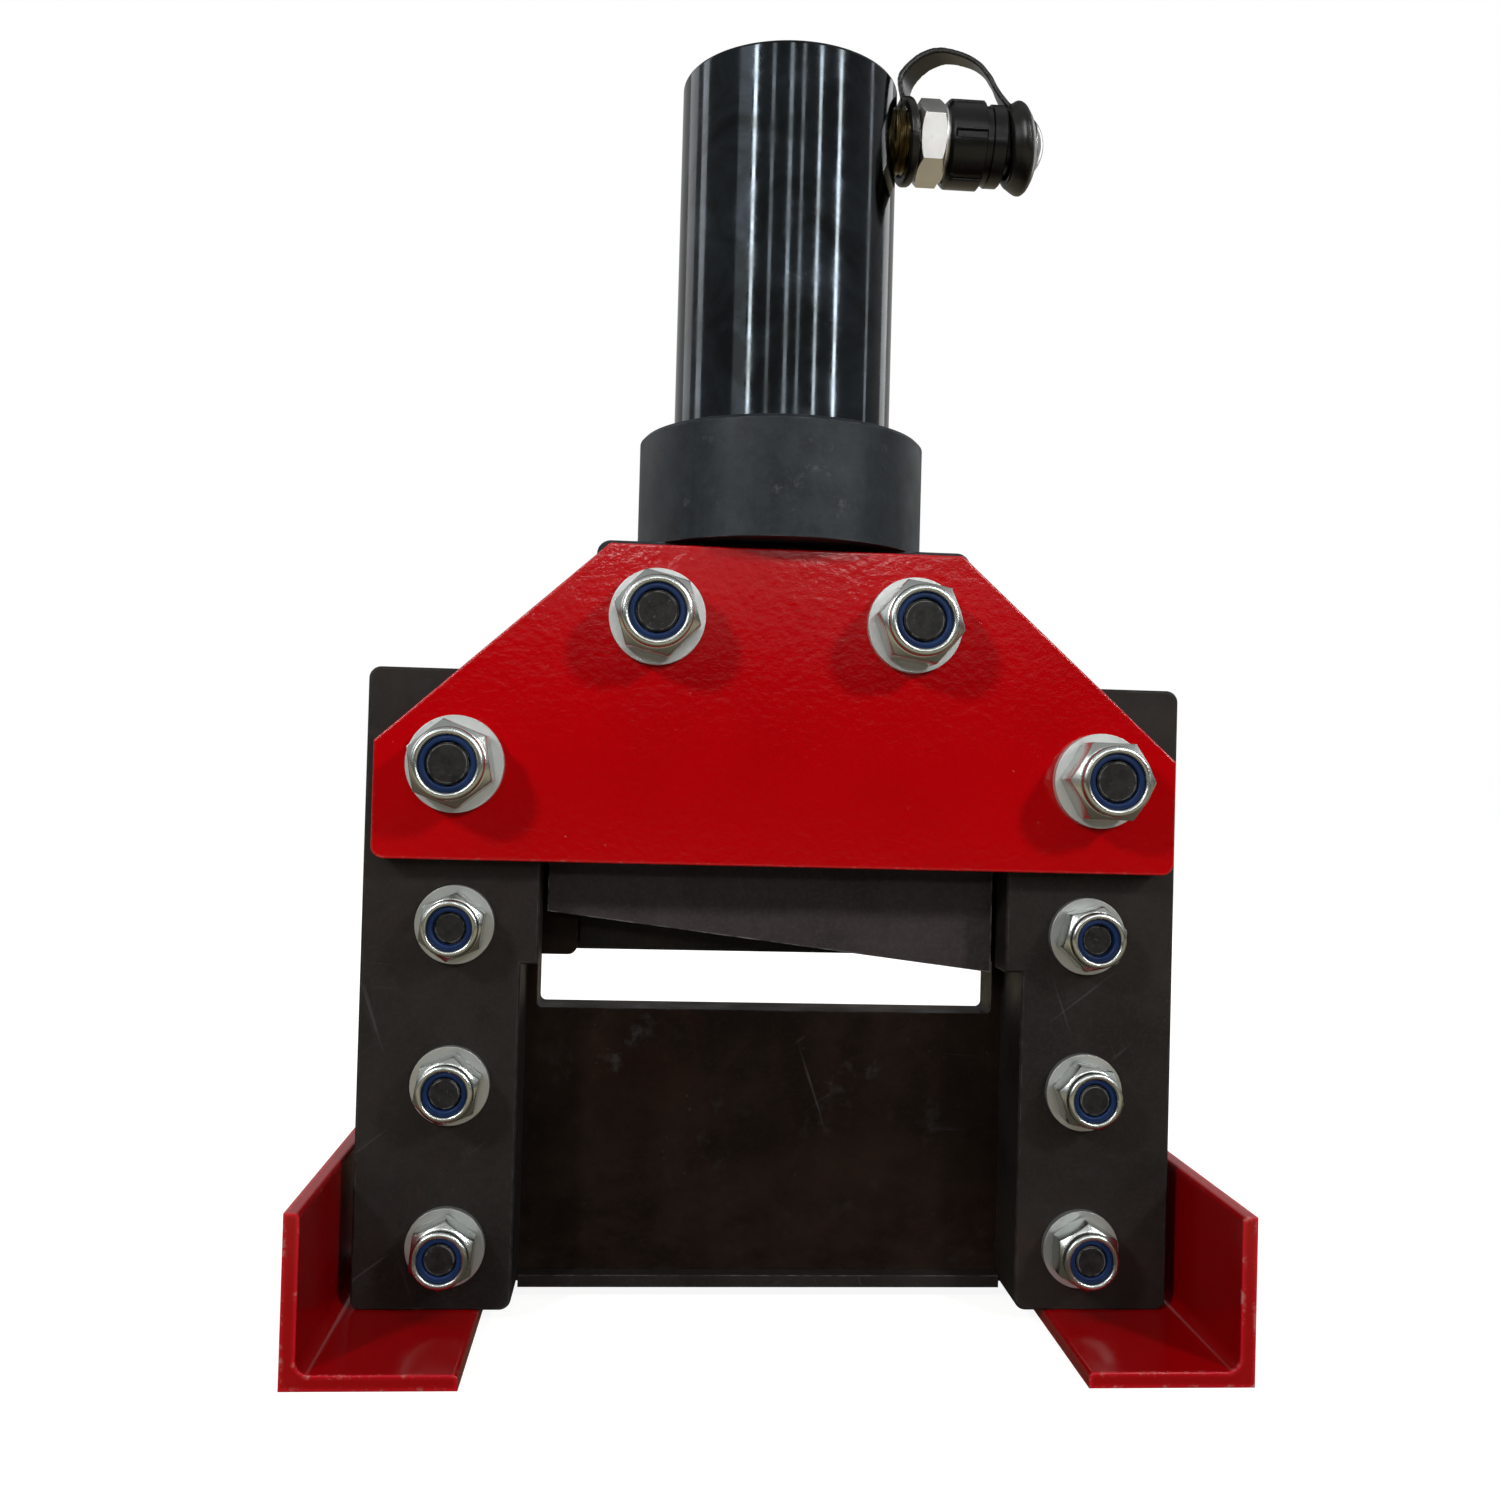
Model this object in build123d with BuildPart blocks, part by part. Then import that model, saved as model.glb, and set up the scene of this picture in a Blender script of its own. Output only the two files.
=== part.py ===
from build123d import *

import math
import os

# Hydraulic busbar cutter: a shear frame between two red plates, with a single-acting
# cylinder on top. Sizes are in millimetres and degrees. X is to the right as seen from
# the front, Y goes to the back, Z goes up, and the feet stand on Z = 0.

# Angle iron feet
foot_leg = 50.0
foot_thickness = 4.5
foot_length = 150.0
foot_side_gap = 5.0
foot_toe_radius = 1.5

# Shear frame, built up in layers from front to back
frame_width = 264.0
column_height = 204.0
column_width = 50.5
column_corner_radius = 3.8
front_bar_thickness = 26.0
fixed_plate_thickness = 16.0
rear_bar_thickness = 14.0
lip_width = 5.5
edge_break = 0.6

# Stock window in the fixed plate
fixed_edge_height = 92.0
stock_opening = 18.0
stock_thickness = 12.0
window_step = 3.5
window_radius = 2.0
lug_width = 13.0
lug_radius = 3.2

# Strip under the fixed plate and bar behind it
strip_thickness = 4.0
strip_overhang = 6.0
cross_bar_height = 30.0
cross_bar_inset = 2.0

# Moving blade and crosshead
blade_thickness = 11.8
blade_rake = 6.8
blade_daylight = 16.0
blade_side_clearance = 1.5
blade_seat_height = 25.0
blade_screw_spacing = 45.0
ear_height = 20.0
ram_stroke = 36.5

# Red clamp plates
plate_thickness = 10.0
plate_width = 256.0
plate_top_width = 113.0
plate_bottom_height = 143.5
plate_side_height = 36.8
plate_top_setback = 2.4
plate_corner_radius = 4.0
plate_shoulder_radius = 11.0

# Head block, collar and cylinder
block_width = 122.0
block_height = 57.0
block_gap = 4.0
block_corner_radius = 4.5
collar_wall = 11.5
collar_height = 38.5
collar_chamfer = 1.2
spigot_wall = 4.0
spigot_depth = 14.0
barrel_radius = 37.0
barrel_wall = 8.0
barrel_length = 160.0
barrel_end = 26.0
barrel_seat = 2.0
barrel_edge_radius = 1.2
port_drop = 14.0
oil_hole_radius = 4.0

# Ram, gland and return spring
rod_spigot_radius = 9.0
rod_spigot_length = 18.0
rod_stud_radius = 10.0
ram_pin_radius = 3.0
piston_length = 24.0
piston_rest_gap = 0.5
piston_nut_across = 28.0
piston_nut_height = 9.0
gland_length = 26.0
seal_width = 4.0
seal_depth = 3.5
spring_wire_radius = 2.5
spring_bore_gap = 1.5
spring_rod_gap = 1.5
spring_turns = 8

# Bolted joints: M16 through the red plates, M12 through the columns
bolt_edge = 29.5
bolt_first = 20.5
nut_plate_gap = 8.5
side_bolt_rise = 30.0
head_bolt_spacing = 82.0
head_bolt_drop = 25.5
plate_bolt_radius = 8.0
plate_bolt_across = 24.0
plate_bolt_head = 10.0
plate_nut_height = 16.4
plate_rim_radius = 10.9
plate_insert_radius = 8.9
plate_washer_radius = 15.2
plate_washer_thickness = 3.0
column_bolt_radius = 6.0
column_bolt_across = 19.0
column_bolt_head = 7.5
column_nut_height = 12.2
column_rim_radius = 8.8
column_insert_radius = 7.2
column_washer_radius = 12.5
column_washer_thickness = 2.5
nut_chamfer_angle = 30
insert_height = 3.2
insert_recess = 0.7
bolt_end_recess = 1.3
short_bolt_recess = 2.8
bolt_end_share = 0.8

# Small countersunk screws
screw_radius = 3.0
screw_head_radius = 6.0
screw_length = 18.0
blade_screw_radius = 4.0
blade_screw_head_radius = 7.8
blade_screw_length = 20.0

# Hose coupler on the oil port, with its cap on a strap
nipple_radius = 9.5
nipple_collar_radius = 10.9
nipple_collar_sink = 2.0
nipple_depth = 10.0
nipple_grip = 5.5
nipple_bore_radius = 2.6
coupler_gap = 7.3
coupler_hex_length = 9.4
coupler_across = 25.5
coupler_turn = -17
nose_radius = 12.0
nose_length = 13.9
seat_length = 5.0
seat_radius = 3.0
chamber_clearance = 1.0
ball_radius = 4.2
check_wire_radius = 0.4
check_mean_radius = 3.2
check_turns = 4
cap_side_wall = 2.4
cap_length = 20.2
cap_grip_length = 12.8
cap_collar_radius = 13.6
cap_flutes = 6
cap_flute_turn = 17
cap_flute_radius = 1.1
cap_wall = 6.3
cap_neck_radius = 9.0
cap_ring_width = 9.6
cap_ring_radius = 15.6
dome_length = 4.4
dome_radius = 9.6
strap_ring_radius = 14.7
strap_ring_width = 3.4
strap_width = 10.0
strap_thickness = 1.8
strap_rise = 31.6
strap_lean = 2.6

# Clearances
running_clearance = 0.05
slide_clearance = 0.1
ear_clearance = 0.3
loose_clearance = 0.5
hole_clearance = 0.5
strip_clearance = 0.2
edge_pick = 0.01

# Positions that follow from the sizes above
half_frame = frame_width / 2
inner_x = half_frame - column_width
lip_x = inner_x - lip_width
window_x = inner_x - window_step
lug_x = window_x - lug_width
bolt_x = half_frame - bolt_edge
foot_outer_x = half_frame + foot_side_gap + foot_thickness
foot_root_radius = 0.8 * foot_side_gap
column_mid_x = (inner_x + half_frame) / 2

body_depth = front_bar_thickness + fixed_plate_thickness + rear_bar_thickness
front_y = -body_depth / 2
shear_y = front_y + front_bar_thickness
fixed_back_y = shear_y + fixed_plate_thickness
rear_y = body_depth / 2
plate_front_y = front_y - plate_thickness
plate_rear_y = rear_y + plate_thickness
blade_back_y = shear_y - slide_clearance
blade_front_y = blade_back_y - blade_thickness
guide_front_y = blade_front_y - slide_clearance

barrel_bore_radius = barrel_radius - barrel_wall
spring_mean_radius = barrel_bore_radius - spring_bore_gap - spring_wire_radius
rod_radius = spring_mean_radius - spring_wire_radius - spring_rod_gap
collar_radius = barrel_radius + collar_wall
spigot_radius = rod_radius + loose_clearance + spigot_wall

base_z = foot_thickness
column_top_z = base_z + column_height
fixed_edge_z = base_z + fixed_edge_height
window_top_z = fixed_edge_z + stock_opening
blade_half = lip_x - blade_side_clearance
blade_low_z = fixed_edge_z + blade_daylight
blade_high_z = blade_low_z + 2 * blade_half * math.tan(math.radians(blade_rake))
crosshead_low_z = fixed_edge_z + stock_thickness + ram_stroke + loose_clearance
blade_top_z = crosshead_low_z + blade_seat_height
crosshead_top_z = blade_top_z + ear_height
block_low_z = crosshead_top_z + block_gap
block_top_z = block_low_z + block_height
head_bolt_z = block_top_z - head_bolt_drop
plate_low_z = base_z + plate_bottom_height
plate_top_z = block_top_z - plate_top_setback
barrel_low_z = block_top_z + barrel_seat
barrel_top_z = barrel_low_z + barrel_length
bore_top_z = barrel_top_z - barrel_end
port_z = barrel_top_z - port_drop
gland_top_z = barrel_low_z + gland_length
piston_top_z = bore_top_z - piston_rest_gap
piston_low_z = piston_top_z - piston_length

bolt_top = plate_bottom_height - nut_plate_gap - column_washer_radius
bolt_pitch = (bolt_top - bolt_first) / 2
long_bolt_points = [
    (side * bolt_x, base_z + bolt_first + row * bolt_pitch) for side in (-1, 1) for row in range(2)
]
short_bolt_points = [(side * bolt_x, base_z + bolt_top) for side in (-1, 1)]
column_bolt_points = long_bolt_points + short_bolt_points
side_bolt_points = [(side * bolt_x, plate_low_z + side_bolt_rise) for side in (-1, 1)]
head_bolt_points = [(side * head_bolt_spacing / 2, head_bolt_z) for side in (-1, 1)]
plate_bolt_points = side_bolt_points + head_bolt_points
nipple_start = barrel_radius - nipple_depth
collar_start = barrel_radius - nipple_collar_sink
coupler_start = barrel_radius + coupler_gap
nipple_end = coupler_start + nipple_grip
chamber_radius = ball_radius + chamber_clearance
cap_radius = nose_radius + ear_clearance + cap_side_wall
column_hole_radius = column_bolt_radius + hole_clearance
plate_hole_radius = plate_bolt_radius + hole_clearance
small_screw = (screw_radius, screw_head_radius, screw_length)
blade_screw = (blade_screw_radius, blade_screw_head_radius, blade_screw_length)
column_outline = [
    (inner_x, base_z),
    (half_frame, base_z),
    (half_frame, column_top_z),
    (inner_x, column_top_z),
]
lip_outline = [
    (lip_x, window_top_z),
    (inner_x, window_top_z),
    (inner_x, column_top_z),
    (lip_x, column_top_z),
]

os.makedirs("parts", exist_ok=True)


def depth_plane(y):
    """Upright plane at depth y, with X to the right, Z up and its normal to the front."""
    return Plane.XZ.offset(-y)


def side_plane(x):
    """Upright plane at x, with its normal to the right."""
    return Plane.YZ.offset(x)


def helix_points(axis_start, along, across, radius, height, turns):
    """Points and directions at every quarter turn of a helix."""
    up = along.cross(across)
    rise = height / (4 * turns)
    found = []
    for quarter in range(4 * turns + 1):
        angle = quarter * math.pi / 2
        outward = across * math.cos(angle) + up * math.sin(angle)
        sideways = up * math.cos(angle) - across * math.sin(angle)
        point = axis_start + outward * radius + along * (rise * quarter)
        heading = (sideways * (radius * math.pi / 2) + along * rise).normalized()
        found.append((point, heading))
    return found


def wind(stations):
    """Draws two tangent arcs between each station and the next."""
    for first, second in zip(stations, stations[1:]):
        point_a, heading_a = first
        point_b, heading_b = second
        step = point_b - point_a
        both = heading_a + heading_b
        spread = 2 * (1 - heading_a.dot(heading_b))
        lead = step.dot(both)
        reach = (math.sqrt(lead * lead + spread * step.dot(step)) - lead) / spread
        middle = (point_a + point_b + (heading_a - heading_b) * reach) * 0.5
        turning = (step - both * reach).normalized()
        TangentArc(point_a, middle, tangent=heading_a)
        TangentArc(middle, point_b, tangent=turning)


def hexagon_blank(across, length, foot_radius, rim_radius, rim_length, turn):
    """A hexagon standing on XY, chamfered down to a round foot and to a round rim."""
    chamfer_slope = math.tan(math.radians(nut_chamfer_angle))
    corner_radius = across / math.sqrt(3)
    foot_rise = (corner_radius - foot_radius) * chamfer_slope
    rim_drop = (corner_radius - rim_radius) * chamfer_slope
    with BuildPart() as blank:
        with BuildSketch():
            RegularPolygon(across / 2, 6, major_radius=False, rotation=turn)
        extrude(amount=length)
        with BuildSketch(Plane.XZ):
            with BuildLine():
                Polyline(
                    (0, 0),
                    (foot_radius, 0),
                    (corner_radius, foot_rise),
                    (corner_radius, length - rim_length - rim_drop),
                    (rim_radius, length - rim_length),
                    (rim_radius, length),
                    (0, length),
                    close=True,
                )
            make_face()
        revolve(axis=Axis.Z, mode=Mode.INTERSECT)
    return blank


def lock_nut(bolt_radius, across, height, rim_radius, insert_radius):
    """A hexagon nut with a rolled rim, bored for the bolt and for a nylon ring."""
    blank = hexagon_blank(across, height, across / 2, rim_radius, insert_height, 30)
    with BuildPart() as nut:
        add(blank.part)
        top = nut.edges().filter_by_position(Axis.Z, height - edge_pick, height + edge_pick)
        fillet(top, 0.45 * (rim_radius - insert_radius))
        with BuildSketch():
            Circle(bolt_radius + running_clearance)
        extrude(amount=height, mode=Mode.SUBTRACT)
        with BuildSketch(Plane.XY.offset(height - insert_recess - insert_height)):
            Circle(insert_radius + running_clearance)
        extrude(amount=height, mode=Mode.SUBTRACT)
    return nut


def placed_group(piece, points, face_y):
    """Copies of a piece that stands on XY, set on a face of the frame."""
    with BuildPart(depth_plane(face_y)) as group:
        with Locations(*points):
            add(piece.part)
    return group


def insert_group(points, seat_y, bolt_radius, insert_radius):
    """Nylon rings in the tops of the nuts."""
    with BuildPart() as rings:
        with BuildSketch(depth_plane(seat_y)):
            with Locations(*points):
                Circle(insert_radius)
                Circle(bolt_end_share * bolt_radius + running_clearance, mode=Mode.SUBTRACT)
        extrude(amount=insert_height)
    return rings


def bolt_group(point_sets, start_y, seat_y, bolt_radius, across, head):
    """Hexagon bolts from the back, with reduced ends in the nylon, one length for each set of points."""
    with BuildPart() as bolts:
        for points, end_y in point_sets:
            with BuildSketch(depth_plane(start_y)):
                with Locations(*points):
                    Circle(bolt_radius)
            extrude(amount=start_y - seat_y)
            with BuildSketch(depth_plane(seat_y)):
                with Locations(*points):
                    Circle(bolt_end_share * bolt_radius)
            extrude(amount=seat_y - end_y)
            ends = bolts.edges().filter_by_position(Axis.Y, end_y - edge_pick, end_y + edge_pick)
            chamfer(ends, 0.07 * bolt_radius)
            with BuildSketch(depth_plane(start_y)):
                with Locations(*points):
                    RegularPolygon(across / 2, 6, major_radius=False, rotation=30)
            extrude(amount=-head)
    return bolts


def washer_group(points, faces, bolt_radius, radius, thickness):
    """Plain washers under the bolt heads and under the nuts."""
    with BuildPart() as washers:
        for face_y in faces:
            with BuildSketch(depth_plane(face_y)):
                with Locations(*points):
                    Circle(radius)
                    Circle(bolt_radius + running_clearance, mode=Mode.SUBTRACT)
            extrude(amount=thickness)
    return washers


def screw_group(plane, points, radius, head_radius, length):
    """Countersunk screws, heads level with the plane and shanks going down from it."""
    level = (Align.CENTER, Align.CENTER, Align.MAX)
    with BuildPart(plane) as screws:
        with Locations(*points):
            Cone(radius, head_radius, head_radius - radius, align=level)
            Cylinder(radius, length, align=level)
        with BuildSketch(plane):
            with Locations(*points):
                RegularPolygon(0.6 * radius, 6, major_radius=False)
        extrude(amount=-0.8 * (head_radius - radius), mode=Mode.SUBTRACT)
    return screws


def screw_holes(plane, points, radius, head_radius, length):
    """Room for the same screws."""
    level = (Align.CENTER, Align.CENTER, Align.MAX)
    wide = head_radius + running_clearance
    narrow = radius + running_clearance
    with BuildPart(plane) as room:
        with Locations(*points):
            Cone(narrow, wide, wide - narrow, align=level)
            Cylinder(narrow, length + loose_clearance, align=level)
    return room


def finish(piece, label):
    """Names a piece and writes it."""
    piece.part.label = label
    export_step(piece.part, f"parts/{label}.step")


# Screw places, used by the pieces they hold and by the screws
under_plane = Plane(origin=(0, 0, 0), x_dir=(1, 0, 0), z_dir=(0, 0, -1))
strip_plane = Plane(origin=(0, 0, base_z), x_dir=(1, 0, 0), z_dir=(0, 0, -1))
bar_plane = Plane(origin=(0, rear_y - cross_bar_inset, 0), x_dir=(-1, 0, 0), z_dir=(0, 1, 0))
blade_plane = depth_plane(blade_front_y)
front_bar_mid_y = (front_y + shear_y) / 2
rear_bar_mid_y = (fixed_back_y + rear_y) / 2
foot_screw_points = [
    (side * column_mid_x, -y) for side in (-1, 1) for y in (front_bar_mid_y, rear_bar_mid_y)
]
strip_screw_points = [(side * inner_x * 0.6, -(shear_y + fixed_back_y) / 2) for side in (-1, 1)]
bar_screw_points = [
    (side * (lug_x + window_x) / 2, window_top_z + cross_bar_height * part)
    for side in (-1, 1)
    for part in (0.23, 0.77)
]
blade_screw_points = [
    (place * blade_screw_spacing, crosshead_low_z + blade_seat_height / 2) for place in (-1, 0, 1)
]
foot_screw_room = screw_holes(under_plane, foot_screw_points, *small_screw)
strip_screw_room = screw_holes(strip_plane, strip_screw_points, *small_screw)
bar_screw_room = screw_holes(bar_plane, bar_screw_points, *small_screw)
blade_screw_room = screw_holes(blade_plane, blade_screw_points, *blade_screw)

# Feet
with BuildPart() as right_foot:
    with BuildSketch(depth_plane(foot_length / 2)) as angle:
        with BuildLine():
            Polyline(
                (foot_outer_x, 0),
                (foot_outer_x, foot_leg),
                (foot_outer_x - foot_thickness, foot_leg),
                (foot_outer_x - foot_thickness, foot_thickness),
                (foot_outer_x - foot_leg, foot_thickness),
                (foot_outer_x - foot_leg, 0),
                close=True,
            )
        make_face()
        root = angle.vertices().sort_by_distance((foot_outer_x - foot_thickness, foot_thickness))[0]
        fillet(root, foot_root_radius)
        upper_toe = angle.vertices().sort_by_distance((foot_outer_x - foot_thickness, foot_leg))[0]
        fillet(upper_toe, foot_toe_radius)
        lower_toe = angle.vertices().sort_by_distance((foot_outer_x - foot_leg, foot_thickness))[0]
        fillet(lower_toe, foot_toe_radius)
    extrude(amount=foot_length)
    add(foot_screw_room.part, mode=Mode.SUBTRACT)
finish(right_foot, "right_foot")

with BuildPart() as left_foot:
    mirror(right_foot.part, about=Plane.YZ)
finish(left_foot, "left_foot")

foot_screws = screw_group(under_plane, foot_screw_points, *small_screw)
finish(foot_screws, "foot_screws")

# Front bars, with the lips that guide the crosshead
with BuildPart() as right_front_bar:
    with BuildSketch(depth_plane(shear_y)) as bar:
        with BuildLine():
            Polyline(*column_outline, close=True)
        make_face()
        fillet(bar.vertices().group_by(Axis.X)[-1], column_corner_radius)
        inner_foot = bar.vertices().sort_by_distance((inner_x, base_z))[0]
        fillet(inner_foot, column_corner_radius)
    extrude(amount=front_bar_thickness)
    with BuildSketch(depth_plane(guide_front_y)):
        with BuildLine():
            Polyline(*lip_outline, close=True)
        make_face()
    extrude(amount=guide_front_y - front_y)
    front_rim = right_front_bar.faces().sort_by(Axis.Y)[0].outer_wire().edges()
    chamfer(front_rim, edge_break)
    with BuildSketch(depth_plane(shear_y)):
        with Locations(*column_bolt_points):
            Circle(column_hole_radius)
        with Locations(*side_bolt_points):
            Circle(plate_hole_radius)
    extrude(amount=front_bar_thickness, mode=Mode.SUBTRACT)
    add(foot_screw_room.part, mode=Mode.SUBTRACT)
finish(right_front_bar, "right_front_bar")

with BuildPart() as left_front_bar:
    mirror(right_front_bar.part, about=Plane.YZ)
finish(left_front_bar, "left_front_bar")

# Fixed blade plate: a U with a lug on each side above the stock window
with BuildPart() as fixed_blade_plate:
    with BuildSketch(depth_plane(fixed_back_y)) as outline:
        with BuildLine():
            half_outline = [
                (inner_x, base_z + strip_thickness),
                (inner_x, base_z),
                (half_frame, base_z),
                (half_frame, column_top_z),
                (lug_x, column_top_z),
                (lug_x, window_top_z),
                (window_x, window_top_z),
                (window_x, fixed_edge_z),
            ]
            Polyline(*half_outline, *[(-x, z) for x, z in reversed(half_outline)], close=True)
        make_face()
        for side in (-1, 1):
            lug_corner = outline.vertices().sort_by_distance((side * lug_x, window_top_z))[0]
            fillet(lug_corner, lug_radius)
            window_corner = outline.vertices().sort_by_distance((side * window_x, fixed_edge_z))[0]
            fillet(window_corner, window_radius)
        with Locations(*column_bolt_points):
            Circle(column_hole_radius, mode=Mode.SUBTRACT)
        with Locations(*side_bolt_points):
            Circle(plate_hole_radius, mode=Mode.SUBTRACT)
    extrude(amount=fixed_plate_thickness)
    add(strip_screw_room.part, mode=Mode.SUBTRACT)
    add(bar_screw_room.part, mode=Mode.SUBTRACT)
finish(fixed_blade_plate, "fixed_blade_plate")

# Rear bars
with BuildPart() as right_rear_bar:
    with BuildSketch(depth_plane(rear_y)) as bar:
        with BuildLine():
            Polyline(*column_outline, close=True)
        make_face()
        fillet(bar.vertices().group_by(Axis.X)[-1], column_corner_radius)
        with Locations(*[point for point in column_bolt_points if point[0] > 0]):
            Circle(column_hole_radius, mode=Mode.SUBTRACT)
        with Locations(*[point for point in side_bolt_points if point[0] > 0]):
            Circle(plate_hole_radius, mode=Mode.SUBTRACT)
    extrude(amount=rear_bar_thickness)
    add(foot_screw_room.part, mode=Mode.SUBTRACT)
finish(right_rear_bar, "right_rear_bar")

with BuildPart() as left_rear_bar:
    mirror(right_rear_bar.part, about=Plane.YZ)
finish(left_rear_bar, "left_rear_bar")

# Cross bar behind the lugs
with BuildPart() as rear_cross_bar:
    with BuildSketch(depth_plane(rear_y - cross_bar_inset)):
        with Locations((0, window_top_z + cross_bar_height / 2)):
            Rectangle(2 * (inner_x - strip_clearance), cross_bar_height)
    extrude(amount=rear_bar_thickness - cross_bar_inset)
    add(bar_screw_room.part, mode=Mode.SUBTRACT)
finish(rear_cross_bar, "rear_cross_bar")

cross_bar_screws = screw_group(bar_plane, bar_screw_points, *small_screw)
finish(cross_bar_screws, "cross_bar_screws")

# Strip under the fixed plate
with BuildPart() as base_strip:
    with BuildSketch(Plane.XY.offset(base_z)):
        with Locations((0, (shear_y - strip_overhang + fixed_back_y) / 2)):
            Rectangle(2 * (inner_x - strip_clearance), fixed_plate_thickness + strip_overhang)
    extrude(amount=strip_thickness)
    add(strip_screw_room.part, mode=Mode.SUBTRACT)
finish(base_strip, "base_strip")

base_strip_screws = screw_group(strip_plane, strip_screw_points, *small_screw)
finish(base_strip_screws, "base_strip_screws")

# Red clamp plates
with BuildPart() as front_plate:
    with BuildSketch(depth_plane(front_y)) as hexagon:
        with BuildLine():
            half_plate = [
                (plate_width / 2, plate_low_z),
                (plate_width / 2, plate_low_z + plate_side_height),
                (plate_top_width / 2, plate_top_z),
            ]
            Polyline(*half_plate, *[(-x, z) for x, z in reversed(half_plate)], close=True)
        make_face()
        low_corners = hexagon.vertices().group_by(Axis.Y)[0]
        shoulders = hexagon.vertices().group_by(Axis.Y)[1:]
        fillet(low_corners, plate_corner_radius)
        fillet([corner for row in shoulders for corner in row], plate_shoulder_radius)
        with Locations(*plate_bolt_points):
            Circle(plate_hole_radius, mode=Mode.SUBTRACT)
    extrude(amount=plate_thickness)
    plate_rim = front_plate.faces().sort_by(Axis.Y)[0].outer_wire().edges()
    fillet(plate_rim, edge_break)
finish(front_plate, "front_plate")

with BuildPart() as rear_plate:
    mirror(front_plate.part, about=Plane.XZ)
finish(rear_plate, "rear_plate")

# Head block between the plates
with BuildPart() as head_block:
    with BuildSketch(depth_plane(rear_y)) as block:
        with Locations((0, (block_low_z + block_top_z) / 2)):
            Rectangle(block_width, block_height)
        fillet(block.vertices().group_by(Axis.Y)[-1], block_corner_radius)
        with Locations(*head_bolt_points):
            Circle(plate_hole_radius, mode=Mode.SUBTRACT)
    extrude(amount=body_depth)
    with BuildSketch(Plane.XY.offset(block_top_z)):
        Circle(spigot_radius + running_clearance)
    extrude(amount=-spigot_depth, mode=Mode.SUBTRACT)
    with BuildSketch(Plane.XY.offset(block_low_z)):
        Circle(rod_radius + loose_clearance)
    extrude(amount=block_height, mode=Mode.SUBTRACT)
finish(head_block, "head_block")

# Collar, screwed into the block, that holds the barrel
with BuildPart() as cylinder_collar:
    with BuildSketch(Plane.XY.offset(block_top_z)):
        Circle(collar_radius)
    extrude(amount=collar_height)
    chamfer(cylinder_collar.edges().group_by(Axis.Z)[-1], collar_chamfer)
    with BuildSketch(Plane.XY.offset(block_top_z - spigot_depth)):
        Circle(spigot_radius)
    extrude(amount=spigot_depth)
    with BuildSketch(Plane.XY.offset(barrel_low_z)):
        Circle(barrel_radius + running_clearance)
    extrude(amount=collar_height, mode=Mode.SUBTRACT)
    with BuildSketch(Plane.XY.offset(block_top_z - spigot_depth)):
        Circle(rod_radius + loose_clearance)
    extrude(amount=spigot_depth + barrel_seat, mode=Mode.SUBTRACT)
finish(cylinder_collar, "cylinder_collar")

# Barrel, closed at the top, with the oil port in its right side
with BuildPart() as cylinder_barrel:
    with BuildSketch(Plane.XY.offset(barrel_low_z)):
        Circle(barrel_radius)
    extrude(amount=barrel_length)
    fillet(cylinder_barrel.edges().group_by(Axis.Z)[-1], barrel_edge_radius)
    with BuildSketch(Plane.XY.offset(barrel_low_z)):
        Circle(barrel_bore_radius)
    extrude(amount=barrel_length - barrel_end, mode=Mode.SUBTRACT)
    with BuildSketch(side_plane(nipple_start - loose_clearance)):
        with Locations((0, port_z)):
            Circle(nipple_radius + running_clearance)
    extrude(amount=barrel_radius, mode=Mode.SUBTRACT)
    with BuildSketch(side_plane(collar_start)):
        with Locations((0, port_z)):
            Circle(nipple_collar_radius + running_clearance)
    extrude(amount=barrel_radius, mode=Mode.SUBTRACT)
    with BuildSketch(side_plane(0)):
        with Locations((0, port_z)):
            Circle(oil_hole_radius)
    extrude(amount=nipple_start, mode=Mode.SUBTRACT)
    with BuildSketch(Plane.XY.offset(bore_top_z)):
        Circle(oil_hole_radius)
    extrude(amount=barrel_end - port_drop, mode=Mode.SUBTRACT)
finish(cylinder_barrel, "cylinder_barrel")

# Gland that guides the rod, with its seal and wiper
seal_low_z = barrel_low_z + gland_length / 2
with BuildPart() as rod_gland:
    with BuildSketch(Plane.XY.offset(barrel_low_z)):
        Circle(barrel_bore_radius - running_clearance)
        Circle(rod_radius + running_clearance, mode=Mode.SUBTRACT)
    extrude(amount=gland_length)
    for low_z in (barrel_low_z, seal_low_z):
        with BuildSketch(Plane.XY.offset(low_z)):
            Circle(rod_radius + seal_depth + running_clearance)
        extrude(amount=seal_width, mode=Mode.SUBTRACT)
finish(rod_gland, "rod_gland")

with BuildPart() as rod_wiper:
    with BuildSketch(Plane.XY.offset(barrel_low_z)):
        Circle(rod_radius + seal_depth)
        Circle(rod_radius + running_clearance, mode=Mode.SUBTRACT)
    extrude(amount=seal_width)
finish(rod_wiper, "rod_wiper")

with BuildPart() as rod_seal:
    with BuildSketch(Plane.XY.offset(seal_low_z)):
        Circle(rod_radius + seal_depth)
        Circle(rod_radius + running_clearance, mode=Mode.SUBTRACT)
    extrude(amount=seal_width)
finish(rod_seal, "rod_seal")

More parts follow.
